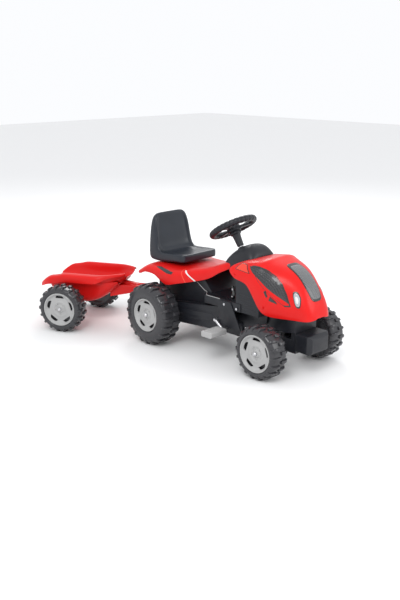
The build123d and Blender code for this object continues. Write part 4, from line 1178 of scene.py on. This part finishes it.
@dataclass
class Chassis:
    """The dark mouldings that carry everything, with their ribs, louvres and fittings.

    Attributes:
        deck: Height of the footrests.
        foot: (rear, front, inner half, outer half) of a footrest.
        cheek_half: Half width of the wall below the hood.
        weight_swell: How much wider and taller the front weight is than its solid.
        bead_route: The way on the left of the pale line that paints the crease's highlight: x, distance
            from the middle, z.
    """

    deck: float = 262.0
    foot: tuple[float, float, float, float] = (270.0, 462.0, 98.0, 137.0)
    cheek_half: float = 136.5
    weight_swell: Pair = (1.08, 1.12)
    bead_route: Sequence[Point] = (
        (172, 95.6, 292), (182, 95.9, 287), (206, 96.2, 271), (222, 97, 263.8),
        (236, 99.5, 262.6), (270, 136.5, 262.4), (282, 138.6, 262.3), (352, 138.6, 262.2),
    )

    def moulding(self) -> None:
        """The main moulding with its edges rounded as the mould leaves them."""
        soften("chassis_tub", "chassis_skin", 3.2, 3, CHARCOAL, "chassis")

    def tread_bar(self, x: float, side: Side, length: float) -> Thing:
        """A low rounded rib across a footrest."""
        y = side.value * (self.foot[2] + self.foot[3]) / 2
        low = (x - 3.0, y - length / 2, self.deck - 1)
        high = (x + 3.0, y + length / 2, self.deck + 1.6)
        return block("tread", low, high, 1.2)

    def treads(self) -> None:
        """Rows of ribs on both footrests."""
        for side in Side:
            bars = [self.tread_bar(284 + 13.0 * i, side, 31.0) for i in range(11)]
            fix(merged(bars, f"footrest_ribs_{side.word}"), CHARCOAL)

    def louvres(self) -> None:
        """Raised slats on the walls under the hood, each a little shorter than the one below it."""
        rear, front, foot, pitch, tall, thick = 462, 548, 243, 19.0, 9, 2.2
        for side in Side:
            middle = side.value * (self.cheek_half - 1)
            slats = []
            for i in range(4):
                z = foot + pitch * i
                low = (rear, middle - thick, z)
                high = (front - 3.0 * i, middle + thick, z + tall)
                slats.append(block("slat", low, high, 1.8))
            fix(merged(slats, f"cheek_slats_{side.word}"), CHARCOAL)

    def panel_line(self) -> None:
        """A raised panel with a rounded outline on the left of the seat's pedestal."""
        outline = rounded([(150, 212), (238, 206), (238, 240), (206, 270), (150, 292)], 10.0)
        left = Side.LEFT.value
        points = [(x, left * 94, z) for x, z in outline]
        plate = round_edges(prism("pedestal_panel", points, (0, left * 2.4, 0)), 1.5)
        fix(plate, CHARCOAL)

    def bead(self) -> None:
        """A thin raised line down the seat's pedestal and along each footrest, pale grey as a painted
        highlight on the crease.
        """
        for side in Side:
            run = [Vector((x, side.value * away, z)) for x, away, z in self.bead_route]
            loops = []
            for here, there in zip(run, run[1:] + [run[-1] * 2 - run[-2]]):
                along = (there - here).normalized()
                across = along.cross(Vector((0, side.value, 1))).normalized()
                up = across.cross(along)
                turns = [math.tau * k / 8 for k in range(8)]
                loops.append([here + (across * math.cos(a) + up * math.sin(a)) * 1.5 for a in turns])
            line = tube(f"pedestal_bead_{side.word}", loops)
            # The light grey is a painted highlight on the crease, not the moulding's own colour.
            fix(line, GREY)

    def belly(self) -> None:
        """The side walls that close the chassis below the hood's cheeks."""
        outline = rounded(
            [(392, 240), (572, 240), (572, 196), (540, 172), (470, 152), (392, 140)], 6.0)
        walls = []
        for side in Side:
            wall = prism("belly_wall", [(x, side.value * 87.5, z) for x, z in outline],
                         (0, side.value * 3.5, 0))
            walls.append(round_edges(wall, 1.2, 2, 35.0))
        fix(merged(walls, "belly_walls"), CHARCOAL)

    def latch(self) -> None:
        """The short lever with two bright bolts behind the hood on the right."""
        corners = [(378, 262), (396, 262), (402, 288), (392, 318), (382, 318), (388, 288)]
        outline = [(x, -96.0, z) for x, z in rounded(corners, 4.0)]
        arm = round_edges(prism("latch_arm", outline, (0, -7, 0)), 1.6)
        fix(arm, BLACK, slot="charcoal_plastic")
        bolts = []
        for x, z in ((389, 272), (391, 304)):
            bolt = post("bolt", (x, -102, z), (x, -106.5, z), (4.6, 4.2), 6)
            bolts.append(round_edges(bolt, 0.7))
        fix(merged(bolts, "latch_bolts"), STEEL)

    def ballast(self) -> None:
        """The front weight with its rounded edges and three shallow ridges."""
        weight = node_copy("front_weight", "front_weight_skin", 9.0, 4)
        low, high = (Vector(corner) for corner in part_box("front_weight"))
        seat = Vector((high.x, (low.y + high.y) / 2, low.z))
        swell = Matrix.Diagonal((1, self.weight_swell[0], self.weight_swell[1], 1))
        moved(weight, Matrix.Translation(seat) @ swell @ Matrix.Translation(-seat))
        finish_piece(weight, CHARCOAL, "chassis", ["front_weight"])
        ridges = []
        for z in (112.0, 126.0, 140.0):
            ridges.append(block("ridge", (770, -38, z - 2.5), (773.6, 38, z + 2.5), 1.4))
        fix(merged(ridges, "front_weight_ridges"), CHARCOAL)

    def build(self) -> None:
        """Build the chassis's pieces."""
        self.moulding()
        self.treads()
        self.louvres()
        self.panel_line()
        self.bead()
        self.belly()
        self.latch()
        self.ballast()


@dataclass
class Drive:
    """The chain's cover, the brackets and the pedals.

    Attributes:
        cover_face: The Y of the cover's outer face.
    """

    cover_face: float = -132.0

    def cover(self) -> None:
        """The chain cover with its raised panel."""
        soften("chain_case", "chain_cover_skin", 3.0, 3, CHARCOAL, "chassis")
        outline = rounded([(40, 118), (300, 150), (306, 186), (40, 158)], 12.0)
        plate = prism("cover_panel", [(x, self.cover_face + 1.0, z) for x, z in outline], (0, -1.9, 0))
        fix(round_edges(plate, 0.8), CHARCOAL)

    def build(self) -> None:
        """Build the cover, the plates beside the cranks and the pedals with softened edges."""
        self.cover()
        for word in (side.word for side in Side):
            soften(f"crank_bracket_{word}", f"bracket_skin_{word}", 1.6, 2, CHARCOAL, "chassis")
        for word in (side.word for side in Side):
            soften(f"pedal_{word}", f"pedal_skin_{word}", 1.2, 2, GREY, f"pedal_{word}")


# ------------------------------------------------------------------ trailer


@dataclass
class Trailer:
    """The red tub with its broad rims and drawbar, in the trailer's own frame.

    Attributes:
        ribs: One row per section: x, rim height, floor height, half width and rim breadth.
        wall: Wall thickness.
        floor_reach: How far the floor spreads from the middle, in metres.
        keel: One row per section of the lower moulding: x, upper edge, lowest point, half width.
    """

    ribs: Sequence[tuple[float, float, float, float, float]] = (
        (-151.5, 196, 184, 100, 16), (-140, 207, 177, 104, 21), (-124, 220, 168, 108, 27),
        (-110, 229, 162, 110, 31), (-99, 234, 160, 112, 33), (-90, 236, 158.5, 112, 34),
        (-76, 238, 157, 112, 34), (-52, 242, 155.5, 112, 34), (-38, 247, 154, 112, 34),
        (-20, 249.7, 151.5, 112, 34), (10, 249.8, 148, 112, 34), (60, 249.8, 144, 112, 34),
        (110, 249.8, 147, 112, 34), (132, 250, 149, 112, 33), (148, 250.5, 152, 112, 29),
        (162, 251, 157, 111.5, 22), (180, 252, 166, 108, 14), (205, 253, 190, 97, 10),
        (228, 254, 208, 83, 9), (247, 254.6, 224, 70, 8), (256, 254.8, 234, 62, 7),
    )
    wall: float = 3.5
    floor_reach: float = 0.03
    keel: Sequence[tuple[float, float, float, float]] = (
        (-112, 214, 164, 107), (-96, 214, 158, 108.5), (-70, 214, 140, 109), (-40, 214, 122, 109),
        (-12, 214, 112, 109), (20, 214, 106, 109), (56, 214, 106, 109), (92, 214, 112, 109),
        (124, 214, 124, 109), (152, 214, 140, 108), (180, 216, 160, 104), (206, 218, 184, 94),
        (226, 220, 204, 84),
    )

    def keel_shell(self) -> Thing:
        """The deep lower moulding that carries the axle under the tub's floor."""
        rows = []
        for x, top, low, half in self.keel:
            rise = top - low
            side = [(half, top), (half - 0.5, low + 0.72 * rise), (0.965 * half, low + 0.45 * rise),
                    (0.9 * half, low + 0.2 * rise), (0.8 * half, low + 0.06 * rise),
                    (0.66 * half, low), (0.3 * half, low)]
            rows.append(section_row(x, side, low))
        shell = sheet("keel", rows)
        smooth(face_skyward(shell, up=False), 1)
        thicken(shell, 3.0, -1.0)
        return round_edges(shell, 1.0, 2, 50.0)

    def beams(self) -> Thing:
        """The tapering box beam under the drawbar."""
        low = HITCH.z / MM + 4.0
        loops = []
        stations = ((176, 64, 40), (230, 46, 31), (290, 30, 20), (350, 20.5, 10), (404, 16.5, 1))
        for x, half, drop in stations:
            loops.append([(x, -half, low - drop), (x, half, low - drop), (x, half * 0.86, low + 12),
                          (x, -half * 0.86, low + 12)])
        return round_edges(tube("drawbar_beam", loops), 2.4, 2, 35.0)

    def section(self, x: float, top: float, low: float, half: float, rim: float) -> list[Point]:
        """One cross-section from the left rim's lower edge to the right one's."""
        rise = top - low
        side = [
            (half + rim, top - 1.02 * rim - 0.5), (half + rim, top - 0.55 * rim),
            (half + rim - 0.07 * rim, top - 0.2 * rim), (half + 0.75 * rim, top - 0.08 * rim),
            (half + 0.3 * rim + 0.4, top), (half + 0.08 * rim, top - 0.3), (half - 2.2, top - 3.6),
            (half - 3.6, top - 0.35 * rise - 3), (half - 0.12 * half, top - 0.56 * rise),
            (0.66 * half, low + 0.18 * rise), (0.52 * half, low + 0.03 * rise), (0.28 * half, low),
        ]
        return section_row(x, side, low)

    def build(self) -> None:
        """Mould the tub, give it its wall and join it with its keel, drawbar and beam."""
        skin = sheet("tub_skin", [self.section(*rib) for rib in self.ribs])
        smooth(face_skyward(skin, up=False, reach=self.floor_reach), 2)
        thicken(skin, self.wall, -1.0)
        round_edges(skin, 1.2, 2, 50.0)
        bar = self.drawbar()
        parts = [skin, bar, self.keel_shell(), self.beams()]
        piece = moved(shade(merged(parts, "trailer_tub_skin"), 40.0), TRAILER)
        finish_piece(piece, RED, "trailer", ["trailer_tub"])

    def drawbar(self) -> Thing:
        """The tapering beam from the tub's nose to the hitch eye."""
        eye_place, eye_radius = 443.0, 18.0
        neck = [(186, 56), (262, 30), (340, 19), (430, 15.5)]
        tip = []
        for k in range(9):
            angle = math.radians(80 - 20 * k)
            tip.append((eye_place + eye_radius * math.cos(angle), eye_radius * math.sin(angle)))
        outline = [(x, -y) for x, y in neck] + tip[::-1] + [(x, y) for x, y in reversed(neck)]
        low = HITCH.z / MM + 4.0
        bar = prism("drawbar", [(x, y, low) for x, y in outline], (0, 0, 14.0))
        hole = post("hole", (eye_place, 0, low - 20), (eye_place, 0, low + 40), (5.1, 5.1), 32)
        carved(bar, hole)
        round_edges(bar, 2.0, 2, 35.0)
        web = prism("web", [(x, -13.5, z) for x, z in
                            ((140, 148), (205, 168), (266, 181), (334, 192), (226, 208))], (0, 27, 0))
        round_edges(web, 2.0)
        ribs = []
        for y in (-9.0, 9.0):
            ribs.append(block("rib", (262, y - 2, low + 12), (418, y + 2, low + 18.5), 1.4))
        return merged([bar, web, *ribs], "drawbar")


# ------------------------------------------------------------------ carried-over metal and trim


CARRIED: dict[str, Finish] = {
    finish.slot: finish
    for finish in (RED, CHARCOAL, TYRE, GREY, STEEL, GRILLE, BLACK, VENT, LENS, WHITE)
}


def dress_nodes() -> None:
    """Give every CAD node the finish of its slot in the record."""
    for name, node in frame["nodes"].items():
        slot = slot_of(name)
        finish = CARRIED[slot].material()
        if not node.data.materials:
            node.data.materials.append(finish)
        for index in range(len(node.material_slots)):
            node.material_slots[index].material = finish


def slot_of(name: str) -> str:
    """The record's slot of a node."""
    for part in frame["record"]["subparts"]:
        if name in part.get("nodes", [part.get("node")]):
            return part["material_slot"]
    return "steel"


# ------------------------------------------------------------------ stage


@dataclass
class Stage:
    """A plain pale floor, soft lights and the camera.

    Attributes:
        eye: The camera's place in the tractor's frame, in metres.
        yaw: Its turn from +Y towards -X, in radians.
        pitch: Its dip below the horizon, in radians.
        lens: Focal length in millimetres on a 36 mm sensor.
    """

    eye: Point = (2.6458, -2.4747, 1.2109)
    yaw: float = 0.8016
    pitch: float = 0.2836
    lens: float = 49.18

    def floor(self) -> None:
        """A plain pale floor."""
        deselect()
        bpy.ops.mesh.primitive_plane_add(size=24)
        floor = bpy.context.object
        floor.name = "floor"
        paint = bpy.data.materials.new("floor_pale")
        paint.use_nodes = True
        shader = paint.node_tree.nodes["Principled BSDF"]
        shader.inputs["Base Color"].default_value = (0.86, 0.86, 0.86, 1)
        shader.inputs["Roughness"].default_value = 0.85
        floor.data.materials.append(paint)

    def lamp(self, name: str, place: Point, aim: Point, size: float, watts: float) -> None:
        """Add one soft area light.

        Args:
            name: Its name.
            place: Where it is.
            aim: The point that it faces.
            size: Its width in metres.
            watts: Its power.
        """
        data = bpy.data.lights.new(name, "AREA")
        data.shape = "DISK"
        data.size = size
        data.energy = watts
        thing = bpy.data.objects.new(name, data)
        bpy.context.collection.objects.link(thing)
        thing.location = place
        thing.rotation_euler = (Vector(aim) - Vector(place)).to_track_quat("-Z", "Y").to_euler()

    def sky(self) -> None:
        """A pale even surround."""
        bpy.context.scene.view_settings.view_transform = "Standard"
        world = bpy.context.scene.world or bpy.data.worlds.new("surround")
        bpy.context.scene.world = world
        world.use_nodes = True
        ground = world.node_tree.nodes["Background"]
        ground.inputs["Color"].default_value = (0.97, 0.98, 1.0, 1)
        ground.inputs["Strength"].default_value = 1.0

    def camera(self) -> None:
        """Place the camera."""
        data = bpy.data.cameras.new("camera")
        data.lens = self.lens
        data.sensor_width = 36.0
        data.clip_end = 60.0
        thing = bpy.data.objects.new("camera", data)
        bpy.context.collection.objects.link(thing)
        ahead = Vector((
            -math.sin(self.yaw) * math.cos(self.pitch), math.cos(self.yaw) * math.cos(self.pitch),
            -math.sin(self.pitch),
        ))
        thing.location = DATUM @ Vector(self.eye)
        thing.rotation_euler = ahead.to_track_quat("-Z", "Y").to_euler()
        bpy.context.scene.camera = thing

    def build(self) -> None:
        """Set the stage."""
        self.floor()
        self.sky()
        self.lamp("key", (1.9, -2.6, 3.2), (0.1, 0, 0.2), 2.0, 75.0)
        self.lamp("fill", (3.4, 1.6, 1.9), (0.2, 0, 0.2), 2.0, 30.0)
        self.lamp("back", (-2.2, 2.4, 2.8), (0, 0, 0.2), 1.8, 45.0)
        self.camera()


def main() -> None:
    """Build the tractor and its trailer, light them and place the camera."""
    logging.basicConfig(level=logging.INFO, format="%(message)s")
    build_wheels()
    for assembly in (
        Hood(), Dashboard(), SteeringWheel(), Saddle(), Seat(), Chassis(), Drive(), Trailer(),
        Stage(),
    ):
        assembly.build()
        LOG.info("built: %s", type(assembly).__name__)
    dress_nodes()


if __name__ == "__main__":
    main()
